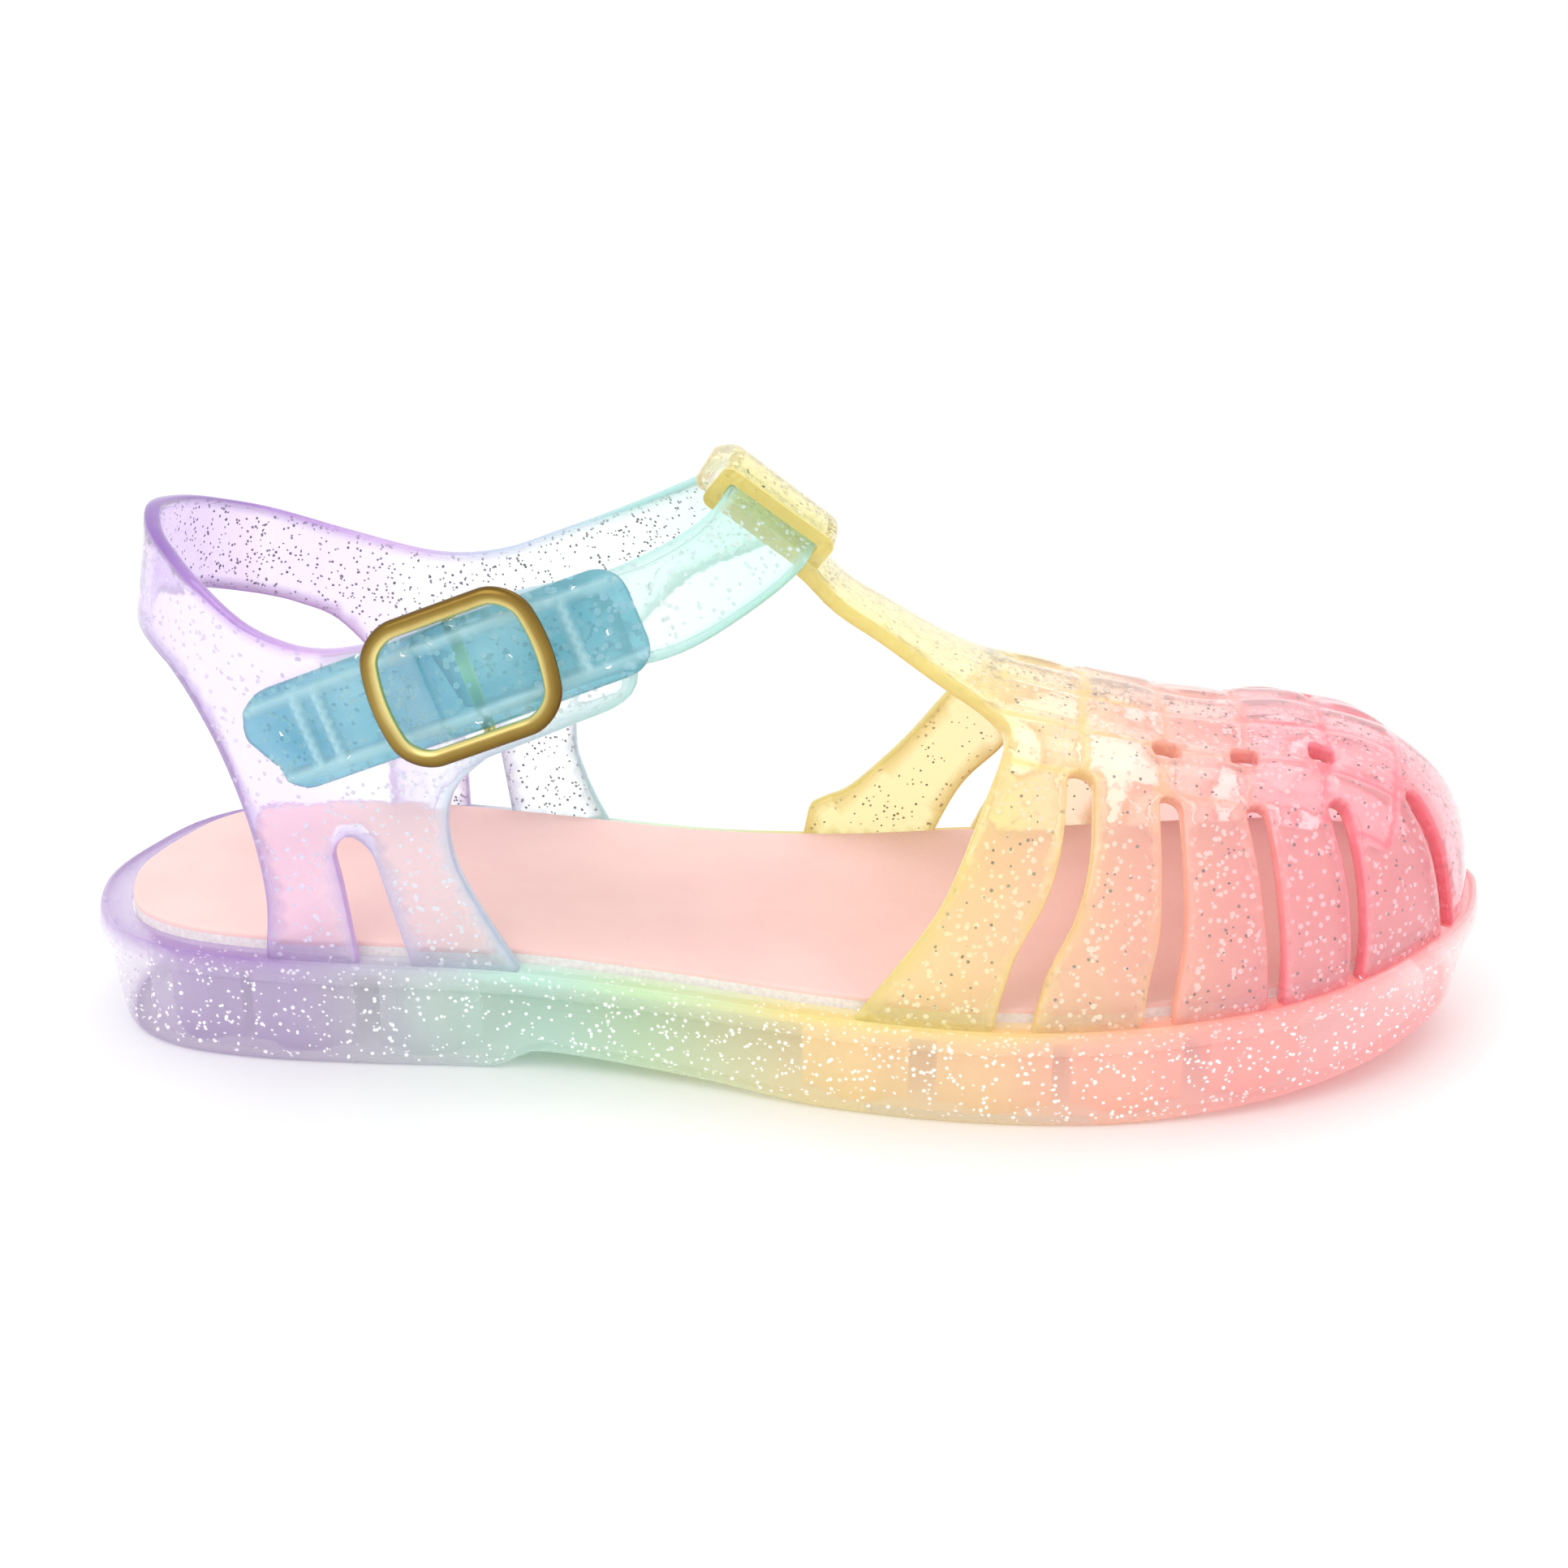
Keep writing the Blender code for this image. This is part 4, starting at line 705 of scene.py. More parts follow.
def ring_regions(step):
    """Outline of the ring laid flat, tab end first, and the arches between the legs."""
    sw = STRAP_WIDTH / SOLE_LENGTH
    top = run([at(k, w) for k, w in TAB_EDGE], 8)
    top = np.vstack([top, [at(k, 0.0) for k in np.arange(4.75, 27.01, 0.25)]])
    strap = [at(k, sw) for k in np.arange(27.0, 17.4, -0.25)]
    strap[0] = (station_t(27.0) - 0.0008, sw * SOLE_LENGTH)
    inner_front = run([at(17.4, sw), at(16.9, sw * 1.08), at(16.3, sw * 1.45), at(15.88, 0.125),
                       at(15.74, 0.165), at(15.80, 0.195), foot_at(16.0)], 6)
    inner_foot = [foot_at(k) for k in np.arange(15.8, 13.4, -0.2)]
    inner_rear = run([foot_at(13.25), at(13.22, 0.180), at(13.30, 0.135), at(13.18, 0.098),
                      at(12.7, sw * 1.06), at(12.1, sw)], 6)
    back = [at(k, sw) for k in np.arange(11.8, 6.8, -0.25)]
    outer_rear = run([at(6.6, sw), at(6.05, sw * 1.15), at(5.55, 0.100), at(5.20, 0.140),
                      at(5.05, 0.190), foot_at(5.12)], 6)
    outer_foot = [foot_at(k) for k in np.arange(4.9, 2.5, -0.2)]
    outer_front = run([foot_at(2.33), at(2.60, 0.205), at(2.72, 0.168), at(2.64, 0.135),
                       at(2.38, 0.115), at(1.9, 0.103)], 6)
    tab = run([at(1.9, 0.103), at(1.0, 0.099), at(0.35, 0.097), at(0.06, 0.086), at(0.0, 0.060),
               at(0.08, 0.030), at(0.6, 0.012)], 6)
    loop = np.vstack([top[8:], strap, inner_front, inner_foot, inner_rear, back, outer_rear,
                      outer_foot, outer_front, tab[1:-1]])
    outer = even(loop, step * ALONG_EDGE, True)
    holes = []
    for feet, head in (((4.10, 3.48), (3.88, 0.140)), ((14.08, 14.68), (14.36, 0.118))):
        a, b = foot_at(feet[0]), foot_at(feet[1])
        h = at(*head)
        r = VENT_RADIUS
        s = np.sign(b[0] - a[0])
        hole = run([(a[0], a[1] + 0.004), a, (a[0] * 0.4 + (h[0] - s * r) * 0.6, h[1] + 0.006),
                    (h[0] - s * r, h[1] + 0.001), (h[0], h[1] - 0.0014), (h[0] + s * r, h[1] + 0.001),
                    (b[0] * 0.4 + (h[0] + s * r) * 0.6, h[1] + 0.006), b, (b[0], b[1] + 0.004)], 4)
        holes.append(even(hole, step * 0.7, True))
    return outer, holes


# Sleeve at the top of the T-bar, round the ankle strap

def sleeve(rows, corner_steps):
    """Square tube of rows rings round the strap, and the number of points on each ring."""
    t0 = station_t(LOOP_MID)

    def place(t, points):
        p = ring_surface(np.full(len(points), t), points[:, 0])
        h = 2 * NORMAL_STEP
        dt = ring_surface([t + h], [0.006])[0] - ring_surface([t - h], [0.006])[0]
        dw = ring_surface([t], [0.007])[0] - ring_surface([t], [0.005])[0]
        return list(p + np.outer(points[:, 1], unit(np.cross(dt, dw))))

    def section(grow, radius):
        return box_loop(-grow, STRAP_WIDTH + grow, -WALL - grow, grow, radius, corner_steps)

    clear = 1.6 * GAP
    out = section(clear + SLEEVE_WALL, SLEEVE_ROUND)
    hole = section(clear, EDGE_ROUND)
    m = len(out)
    verts = []
    for t in t0 + np.linspace(-SLEEVE_LENGTH / 2, SLEEVE_LENGTH / 2, rows):
        verts += place(t, out) + place(t, hole)
    faces = []
    for a in range(0, (rows - 1) * 2 * m, 2 * m):
        b = a + 2 * m
        for i in range(m):
            j = (i + 1) % m
            faces += [(a + i, a + j, b + j, b + i), (a + m + j, a + m + i, b + m + i, b + m + j)]
    for base, turn in ((0, 1), ((rows - 1) * 2 * m, -1)):
        faces += [(base + (i + 1) % m, base + i, base + m + i, base + m + (i + 1) % m)[::turn]
                  for i in range(m)]
    return mesh_object("sleeve", verts, faces), 2 * m


# Buckle strap: share of length along the foot, share of length as height, share of the pin's lift
STRIP = [(-0.3280, 0.2481, 0.00), (-0.2975, 0.2615, 0.00), (-0.2670, 0.2748, 0.04),
         (-0.2370, 0.2881, 0.32), (-0.2070, 0.3059, 0.80), (-0.1770, 0.3179, 0.96),
         (-0.1470, 0.3276, 0.50), (-0.1170, 0.3361, 0.08), (-0.0870, 0.3451, 0.00)]
STRIP_SLOPE = 0.40
STRIP_LEAN = -0.20
STRIP_DROP = -0.92
STRIP_SLANT = 0.0028
STRIP_SEAT = 1.5 * GAP
PIN_LIFT = 2 * PIN_RADIUS + 2 * GAP
# Widest gap at which a point of the wall still counts as lying behind the strap
STRIP_NEAR = 0.0024


def strip_guides():
    """Centre line and lean of the strap's inner face, lying on quarter and ankle strap."""
    t = np.concatenate([np.linspace(RING_T[0], station_t(6), 70),
                        np.linspace(station_t(22), RING_T[-1], 60)])
    w = np.linspace(0, 0.030, 60)
    inner = ring_surface(np.repeat(t[:70], 60), np.tile(w, 70))
    over = ring_surface(np.repeat(t[70:], 30), np.tile(np.linspace(0, STRAP_WIDTH, 30), 60))
    across = np.linspace(-STRIP_WIDTH / 2, STRIP_WIDTH / 2, 7)
    rows = []
    for x, z, lift in STRIP:
        ys = []
        for k in across:
            q = np.array([x * SOLE_LENGTH + STRIP_SLOPE * k, z * SOLE_LENGTH + STRIP_DROP * k])
            best = 0.0
            for cloud in (inner, over):
                gap = np.hypot(cloud[:, 0] - q[0], cloud[:, 2] - q[1])
                near = np.argsort(gap)[:3]
                if gap[near[0]] < STRIP_NEAR:
                    best = min(best, float(cloud[near, 1].min()))
            ys.append(best if best < 0 else np.nan)
        y = float(np.nanmin(ys - STRIP_LEAN * across)) - STRIP_SEAT - lift * PIN_LIFT
        rows.append([x * SOLE_LENGTH, y, z * SOLE_LENGTH, *unit([STRIP_SLOPE, STRIP_LEAN, STRIP_DROP])])
    fine = run(rows, 10)
    return lengths(fine[:, :3]), fine


STRIP_S, STRIP_FINE = strip_guides()
STRIP_LENGTH = float(STRIP_S[-1])


def strip_surface(t, w):
    """Inner face of the buckle strap; w runs down across it from its centre line."""
    t = np.asarray(t, float)
    s, fine = STRIP_S, STRIP_FINE
    c = along(t, s, fine)
    over = np.minimum(t, 0)[:, None] * (fine[1, :3] - fine[0, :3]) / s[1]
    tail = (fine[-1, :3] - fine[-2, :3]) / (s[-1] - s[-2])
    over = over + np.maximum(t - s[-1], 0)[:, None] * tail
    return c[:, :3] + over + c[:, 3:] * np.asarray(w)[:, None]


def strip_loop(step):
    """Outline of the buckle strap: slanted rear end, rounded front end."""
    n, h, r = STRIP_LENGTH, STRIP_WIDTH / 2, STRIP_CORNER
    corners = [(n - r, h - r, r), (r, h - r, r), (1.5 * r - STRIP_SLANT, -h + 1.5 * r, 1.5 * r),
               (n - r, -h + r, r)]
    return even(rounded(corners, 6), step * ALONG_EDGE, True)


# Buckle frame and bar

BUCKLE_A, BUCKLE_B = (BUCKLE_LENGTH - BUCKLE_BAR) / 2, (BUCKLE_HEIGHT - BUCKLE_BAR) / 2
# Flattening of the frame's bar; height of the pin's lugs, way from them into the pin
BAR_FLAT = 0.85
LUG_RISE, LUG_BEND = 0.0014, 0.0012


def bow(x, y):
    """How far the frame's sides stand out at a place on its middle line."""
    return BUCKLE_BOW * (x / BUCKLE_A) * (1 - (y / BUCKLE_B) ** 2)


def buckle_axes():
    """Middle of the strap under the buckle with its along, up and outward directions."""
    t = STRIP_LENGTH * BUCKLE_SHARE
    c = strip_surface([t], [0.0])[0]
    e = unit(strip_surface([t + 0.003], [0.0])[0] - strip_surface([t - 0.003], [0.0])[0])
    up = strip_surface([t], [-0.005])[0] - c
    up = unit(up - e * (up @ e))
    out = np.cross(e, up)
    return c, e, up, -out if out[1] > 0 else out


def tube_faces(rows, sides, closed):
    return [(a, d, c, b) for a, b, c, d in quads(rows, sides, closed)]


def buckle(steps, ring_steps):
    """Bowed rounded frame swept round, with the middle pin on two short lugs."""
    c, e, up, out = buckle_axes()
    face = STRIP_THICKNESS + GAP + BUCKLE_BAR / 2 - PIN_RADIUS
    a, b = BUCKLE_A, BUCKLE_B
    turn = [2 * pi * k / ring_steps for k in range(ring_steps)]
    path = even(box_loop(-a, a, -b, b, BUCKLE_CORNER, steps), (a + b) / (steps * 2), True)
    path[:, 0] += bow(path[:, 0], path[:, 1])
    tang = unit(np.roll(path, -1, 0) - np.roll(path, 1, 0))
    verts = []
    for (x, y), (tx, ty) in zip(path, tang):
        for ang in turn:
            grow = BUCKLE_BAR / 2 * cos(ang)
            d = face + BUCKLE_BAR / 2 * BAR_FLAT * sin(ang)
            verts.append(c + e * (x + ty * grow) + up * (y - tx * grow) + out * d)
    ring = mesh_object("frame", verts, tube_faces(len(path), ring_steps, True))
    back = -GAP - PIN_RADIUS
    line = [(b, face), (b, back + LUG_RISE), (b - LUG_BEND, back), (0, back)]
    line = np.array(line + [(-y, d) for y, d in line[-2::-1]])
    verts = []
    for (y, d), (ty, td) in zip(line, unit(np.gradient(line, axis=0))):
        for ang in turn:
            side, rise = PIN_RADIUS * cos(ang), PIN_RADIUS * sin(ang)
            verts.append(c + e * side + up * (y - td * rise) + out * (d + ty * rise))
    last = (len(line) - 1) * ring_steps
    faces = tube_faces(len(line), ring_steps, False)
    faces += [tuple(range(ring_steps)), tuple(range(last, last + ring_steps))[::-1]]
    return ring, mesh_object("pin", verts, faces)


# Looks

SOLE_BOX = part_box("outsole")
SHIFT = (SOLE_BOX[0][1] + SOLE_BOX[1][1]) / 2
CLEAR_INDEX = 1.45
scene = bpy.context.scene


def linear(c):
    c = c / 255
    return c / 12.92 if c < 0.04045 else ((c + 0.055) / 1.055) ** 2.4


def nodes_of(name):
    mat = bpy.data.materials.new(name)
    mat.use_nodes = True
    tree = mat.node_tree
    return mat, tree, tree.nodes["Principled BSDF"]


def fill(node, inputs):
    """Sets the named inputs of a node. An output is joined, anything else is a plain value."""
    for key, value in inputs.items():
        if isinstance(value, bpy.types.NodeSocket):
            node.id_data.links.new(value, node.inputs[key])
        else:
            node.inputs[key].default_value = value


def add(tree, kind, inputs, result, **settings):
    """Adds a node, fills its inputs and gives the output named result."""
    node = tree.nodes.new("ShaderNode" + kind)
    for key, value in settings.items():
        setattr(node, key, value)
    fill(node, inputs)
    return node.outputs[result]


def place_of(tree):
    return add(tree, "TexCoord", {}, "Object")


def noise(tree, scale, detail=2.0):
    return add(tree, "TexNoise", {"Vector": place_of(tree), "Scale": scale, "Detail": detail}, "Fac")


def bump(tree, height, strength, distance):
    return add(tree, "Bump", {"Height": height, "Strength": strength, "Distance": distance}, "Normal")


def stored(tree, name):
    """Value stored on the mesh under a name."""
    return add(tree, "Attribute", {}, "Fac", attribute_name=name)


def plus_share(tree, value, factor, base):
    return add(tree, "Math", {0: value, 1: factor, 2: base}, "Value", operation="MULTIPLY_ADD")


def mixed(tree, factor, a, b):
    return add(tree, "Mix", {"Factor": factor, "A": a, "B": b}, "Result", data_type="RGBA")


def spread(tree, value, low, high):
    return add(tree, "MapRange", {"Value": value, "To Min": low, "To Max": high}, "Result")


def colour_ramp(tree, value, stops, mode="LINEAR"):
    """Colours along a value. Stops: place, red, green, blue of 255."""
    node = tree.nodes.new("ShaderNodeValToRGB")
    node.color_ramp.interpolation = mode
    bar = node.color_ramp.elements
    while len(bar) < len(stops):
        bar.new(0.5)
    for slot, (pos, *col) in zip(bar, stops):
        slot.position = pos
        slot.color = (*map(linear, col), 1.0)
    fill(node, {"Fac": value})
    return node.outputs["Color"]


def foot_share(tree):
    """Place along the sole from heel 0 to toe 1, with a slight waver."""
    x = add(tree, "SeparateXYZ", {0: place_of(tree)}, "X")
    ends = {"From Min": -SOLE_LENGTH / 2 + 0.005, "From Max": SOLE_LENGTH / 2 + 0.005}
    return add(tree, "MapRange", {"Value": plus_share(tree, noise(tree, 45.0), 0.010, x), **ends}, "Result")


def clear_plastic(name, stops, rim_stops, clarity, rough, painted_glow, alpha=(1.0, 1.0)):
    """Soft clear plastic coloured along the foot; cut edges are milkier and deeper in colour.
    Clarity and alpha are given inside the wall and on a cut edge.
    The emission in the plastic's own colour is painted light: the plastic is made to shine, brightening it
    and what is seen through it."""
    mat, tree, bsdf = nodes_of(name)
    x, rim = foot_share(tree), stored(tree, "rim")
    colour = mixed(tree, rim, colour_ramp(tree, x, stops, "EASE"), colour_ramp(tree, x, rim_stops, "EASE"))
    for socket, (low, high) in (("Transmission Weight", clarity), ("Alpha", alpha)):
        fill(bsdf, {socket: low if low == high else spread(tree, rim, low, high)})
    # Painted light: emission in the plastic's own colour
    fill(bsdf, {"Base Color": colour, "Emission Color": colour, "Emission Strength": painted_glow,
                "Roughness": rough, "IOR": CLEAR_INDEX, "Coat Weight": 0.3, "Coat Roughness": 0.05,
                "Normal": bump(tree, noise(tree, 220.0, 3.0), 0.3, 0.0002)})
    return mat


def paler(stops, share_left):
    return [(pos, *(255 - (255 - c) * share_left for c in col)) for pos, *col in stops]


SOLE_STOPS = [
    (0.0, 146, 108, 174), (0.15, 150, 114, 178), (0.21, 158, 150, 174), (0.27, 162, 194, 180),
    (0.33, 128, 212, 178), (0.41, 152, 214, 122), (0.47, 208, 204, 98), (0.53, 238, 196, 88),
    (0.64, 242, 190, 100), (0.72, 246, 158, 118), (0.82, 248, 136, 124), (1.0, 248, 128, 136)]
SKIRT_RIM = [
    (0.0, 150, 112, 180), (0.12, 160, 124, 186), (0.24, 192, 190, 206), (0.33, 200, 230, 220),
    (0.44, 212, 230, 188), (0.53, 230, 218, 138), (0.65, 240, 212, 138), (0.74, 248, 182, 150),
    (0.84, 250, 150, 146), (1.0, 250, 142, 146)]
CAGE_STOPS = [
    (0.48, 252, 244, 184), (0.62, 253, 243, 190), (0.70, 254, 236, 206), (0.76, 255, 222, 210),
    (0.84, 255, 207, 212), (1.0, 255, 200, 208)]
CAGE_RIM = [
    (0.48, 232, 212, 120), (0.62, 238, 218, 128), (0.71, 244, 208, 142), (0.78, 250, 176, 158),
    (0.86, 250, 136, 148), (1.0, 248, 120, 134)]
REAR_STOPS = [
    (0.03, 190, 158, 220), (0.06, 224, 206, 243), (0.11, 240, 228, 252), (0.17, 242, 230, 255),
    (0.24, 246, 246, 255), (0.33, 246, 253, 253), (0.5, 226, 252, 245)]
REAR_RIM = [
    (0.03, 112, 66, 156), (0.08, 142, 96, 184), (0.14, 178, 136, 208), (0.20, 208, 174, 226),
    (0.30, 194, 208, 230), (0.40, 172, 226, 220), (0.55, 170, 230, 214)]

# The last number of each is the strength of its painted light, the plastic shining in its own colour
sole_mat = clear_plastic("sole_core_rainbow", SOLE_STOPS, SOLE_STOPS, (0.25, 0.25), 0.30, 0.16)
skirt_mat = clear_plastic("sole_skirt_clear", paler(SOLE_STOPS, 0.26), SKIRT_RIM, (0.0, 0.0),
                          0.12, 0.12, alpha=(0.24, 0.66))
cage_mat = clear_plastic("cage_clear_rainbow", CAGE_STOPS, CAGE_RIM, (0.84, 0.32), 0.07, 0.05)
rear_mat = clear_plastic("rear_clear_lilac", REAR_STOPS, REAR_RIM, (0.93, 0.22), 0.07, 0.03)

strip_mat, tree, bsdf = nodes_of("strap_teal_clear")
teal = colour_ramp(tree, noise(tree, 140.0), [(0.3, 114, 190, 208), (0.7, 158, 214, 226)])
pale_teal = (linear(186), linear(226), linear(232), 1)
ridge = stored(tree, "ridge")
fill(bsdf, {"Base Color": mixed(tree, ridge, teal, pale_teal),
            "Transmission Weight": spread(tree, ridge, 0.72, 0.25),
            "Roughness": 0.10, "IOR": CLEAR_INDEX, "Coat Weight": 0.4, "Coat Roughness": 0.06})

insole_mat, tree, bsdf = nodes_of("insole_pink_foam")
pink = colour_ramp(tree, noise(tree, 90.0, 6.0), [(0.30, 246, 203, 198), (0.72, 250, 210, 205)])
fill(bsdf, {"Base Color": pink, "Roughness": 0.75,
            "Normal": bump(tree, noise(tree, 1600.0), 0.25, 0.0002)})

foam_mat, tree, bsdf = nodes_of("insole_foam_edge")
cells = add(tree, "TexVoronoi", {"Vector": place_of(tree), "Scale": 1500.0}, "Distance")
fill(bsdf, {"Base Color": colour_ramp(tree, cells, [(0.0, 232, 222, 222), (1.0, 250, 244, 242)]),
            "Roughness": 0.9})

# Gold: painted shade on the outer edge and painted highlight on the inner edge; the pin shines with painted
# light that shows through the strap
gold_mat, tree, bsdf = nodes_of("antique_gold")
grain = noise(tree, 350.0, 4.0)
# Grain plus the painted highlight share
grain_and_painted_highlight = plus_share(tree, grain, 0.14, stored(tree, "painted_highlight"))
gold = colour_ramp(tree, grain_and_painted_highlight, [(0.08, 106, 82, 36), (0.40, 136, 110, 52), (0.66, 162, 136, 72),
                                (0.86, 210, 188, 120), (1.0, 236, 222, 150)])
# Painted light: the pin is made to shine so that it shows through the strap
pin_light = colour_ramp(tree, stored(tree, "pin"), [(0.3, 0, 0, 0), (0.9, 236, 224, 150)])
fill(bsdf, {"Base Color": gold, "Metallic": 1.0, "Roughness": 0.28, "Emission Color": pin_light,
            "Emission Strength": 0.9, "Normal": bump(tree, grain, 0.10, 0.0001)})


def flake_material(name, low, high, rough, metal, painted_glow):
    """Foil with a different tint from flake to flake; its white emission, where given, is a painted glint.
    """
    mat, tree, bsdf = nodes_of(name)
    tint = colour_ramp(tree, noise(tree, 900.0), [(0.35, *low), (0.65, *high)])
    fill(bsdf, {"Base Color": tint, "Metallic": metal, "Roughness": rough,
                "Emission Color": (1, 1, 1, 1), "Emission Strength": painted_glow})
    return mat


# Lit and shaded copies of one silver foil: the white one shines as a painted glint, the grey metal one is
# painted shade
painted_glint_glitter_mat = flake_material("glitter_painted_glint", (246, 246, 250), (255, 255, 255), 0.4, 0.0, 0.20)
painted_shade_glitter_mat = flake_material("glitter_painted_shade", (70, 72, 80), (150, 152, 160), 0.35, 0.85, 0.0)

# Pieces


def piece(obj, name, mat, node, crease=None):
    """Makes a finished mesh the look of one CAD node, smooth but for edges above crease degrees."""
    obj.name = name
    obj.data.name = name
    obj.data.transform(Matrix.Translation((0, SHIFT, 0)))
    if obj.name not in scene.collection.objects:
        scene.collection.objects.link(obj)
    obj.data.materials.clear()
    obj.data.materials.append(mat)
    for p in obj.data.polygons:
        p.use_smooth = True
    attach(obj, "root")
    if node:
        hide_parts(node)
    if crease:
        bm = bmesh.new()
        bm.from_mesh(obj.data)
        for e in bm.edges:
            e.smooth = not (len(e.link_faces) == 2 and e.calc_face_angle(0) > crease * pi / 180)
        bm.to_mesh(obj.data)
        bm.free()


def union(target, tools):
    """One closed mesh from several by exact booleans, applied."""
    scene.collection.objects.link(target)
    for tool in tools:
        scene.collection.objects.link(tool)
        mod = target.modifiers.new("join", "BOOLEAN")
        mod.operation = "UNION"
        mod.solver = "EXACT"
        mod.object = tool
    graph = bpy.context.evaluated_depsgraph_get()
    mesh = bpy.data.meshes.new_from_object(target.evaluated_get(graph))
    target.modifiers.clear()
    target.data = mesh
    for tool in tools:
        bpy.data.objects.remove(tool, do_unlink=True)
    return target


def store(obj, name, values):
    layer = obj.data.attributes.new(name, "FLOAT", "POINT")
    layer.data.foreach_set("value", np.asarray(values, dtype=np.float32))


def mark_rim(obj, spots, reach):
    """Stores how near each vertex lies to a cut edge: 1 on it, 0 inside the wall."""
    near = KDTree(len(spots))
    for k, spot in enumerate(spots):
        near.insert(spot, k)
    near.balance()
    store(obj, "rim", [max(0.0, 1.0 - near.find(v.co)[2] / reach) for v in obj.data.vertices])


# Edges sharper than this many degrees stay sharp
SOLE_CREASE, CAGE_CREASE, COVER_CREASE, GOLD_CREASE = 38, 42, 60, 50

skirt = loft("skirt", [row[:3] for row in SKIRT], closed=True)
store(skirt, "rim", np.repeat([row[3] for row in SKIRT], len(skirt.data.vertices) // len(SKIRT)))
piece(skirt, "sole_skirt", skirt_mat, "outsole", SOLE_CREASE)
CORE = INNER_WALL + 0.0003
deck = loft("deck", [(CORE + 0.0004, rim_z, -UNDER), (CORE, rim_z, 0.0005 - UNDER),
                     (CORE, rim_z, -DECK_RECESS - 0.0004), (CORE + 0.0004, rim_z, -DECK_RECESS)])
sole = union(deck, [lug("lug_%d" % i, a, b) for i, (a, b) in enumerate(LUGS)])
piece(sole, "sole_deck_and_lugs", sole_mat, None, SOLE_CREASE)

# Insole: foam under a cover whose edge is 0.7 mm high
EDGE = RIM_LEDGE + GAP
BASE = GAP - DECK_RECESS
TOP = BASE + INSOLE_THICKNESS
SEAM = TOP - 0.0007
foam = loft("foam", [(EDGE, rim_z, BASE), (EDGE, rim_z, SEAM)])
piece(foam, "insole_foam", foam_mat, "insole", SOLE_CREASE)
cover = loft("cover", [(EDGE - 0.00005, rim_z, SEAM), (EDGE - 0.00005, rim_z, TOP - 0.0003),
                       (EDGE + 0.0001, rim_z, TOP - 0.0001), (EDGE + 0.0004, rim_z, TOP)])
piece(cover, "insole_cover", insole_mat, None, COVER_CREASE)

# Width of the look of a cut edge, height of the weave under which a point is such an edge
CAGE_REACH, REAR_REACH = 0.0010, 0.0007
STEP_EDGE = 0.42 * WEAVE_LIFT
outer, holes = cage_regions(CHART_STEP)
zone = [(GROOVES[0] * SOLE_LENGTH, STRIPS[0] * SOLE_LENGTH),
        (GROOVES[-1] * SOLE_LENGTH, STRIPS[-1] * SOLE_LENGTH)]
chart, tris = fill_chart(outer, holes, CHART_STEP, zone, WEAVE_STEP)
cage = shell("toe_cage", chart, tris, last_surface, WALL, weave)
spots = [tuple(v.co) for v in cage.data.vertices[2 * len(chart):]]
woven = (chart[:, 0] > zone[0][0]) & (chart[:, 0] < zone[1][0]) & (np.abs(chart[:, 1]) < zone[1][1])
step_edge = np.flatnonzero(woven & (weave(chart) < STEP_EDGE))
spots += [tuple(cage.data.vertices[int(k)].co) for k in step_edge]
loop, ends = sleeve(25, 8)
spots += [tuple(v.co) for v in [*loop.data.vertices[:ends], *loop.data.vertices[-ends:]]]
cage = union(cage, [loop])
mark_rim(cage, spots, CAGE_REACH)
piece(cage, "toe_cage_moulding", cage_mat, "toe_cage", CAGE_CREASE)

outer, holes = ring_regions(CHART_STEP)
chart, tris = fill_chart(outer, holes, CHART_STEP)
rear = shell("rear", chart, tris, ring_surface, WALL)
mark_rim(rear, [tuple(v.co) for v in rear.data.vertices[2 * len(chart):]], REAR_REACH)
piece(rear, "rear_moulding", rear_mat, "rear_upper")

# Buckle strap: wall between the ridges, height and half width of a ridge, way of the border
# from the edge, places of the cross ridges as shares of the length, step of the chart
STRIP_WALL = STRIP_THICKNESS - 0.0005
RIDGE_HEIGHT, RIDGE_HALF, BORDER = 0.0006, 0.0007, 0.0016
CROSS_RIDGES = (0.105, 0.165, 0.845)
STRIP_STEP = 0.0008


def strip_relief(chart):
    """Raised borders along both edges, two cross ridges at the rear end and one in front."""
    line = STRIP_WIDTH / 2 - BORDER
    across = np.abs(chart[:, 1])
    high = np.clip(1 - np.abs(across - line) / RIDGE_HALF, 0, 1)
    for place in CROSS_RIDGES:
        away = np.abs(chart[:, 0] - place * STRIP_LENGTH)
        high = np.maximum(high, np.clip(1 - away / RIDGE_HALF, 0, 1) * (across < line))
    return RIDGE_HEIGHT * high ** 0.7


chart, tris = fill_chart(strip_loop(STRIP_STEP), [], STRIP_STEP)
strip = shell("strap", chart, tris, strip_surface, STRIP_WALL, ridge=strip_relief)
raised = np.zeros(len(strip.data.vertices))
raised[:2 * len(chart)] = np.tile(strip_relief(chart) / RIDGE_HEIGHT, 2)
store(strip, "ridge", raised)
piece(strip, "buckle_strap_moulding", strip_mat, "buckle_strap")

ring, pin = buckle(24, 20)
metal = union(ring, [pin])
c, e, up, out = buckle_axes()
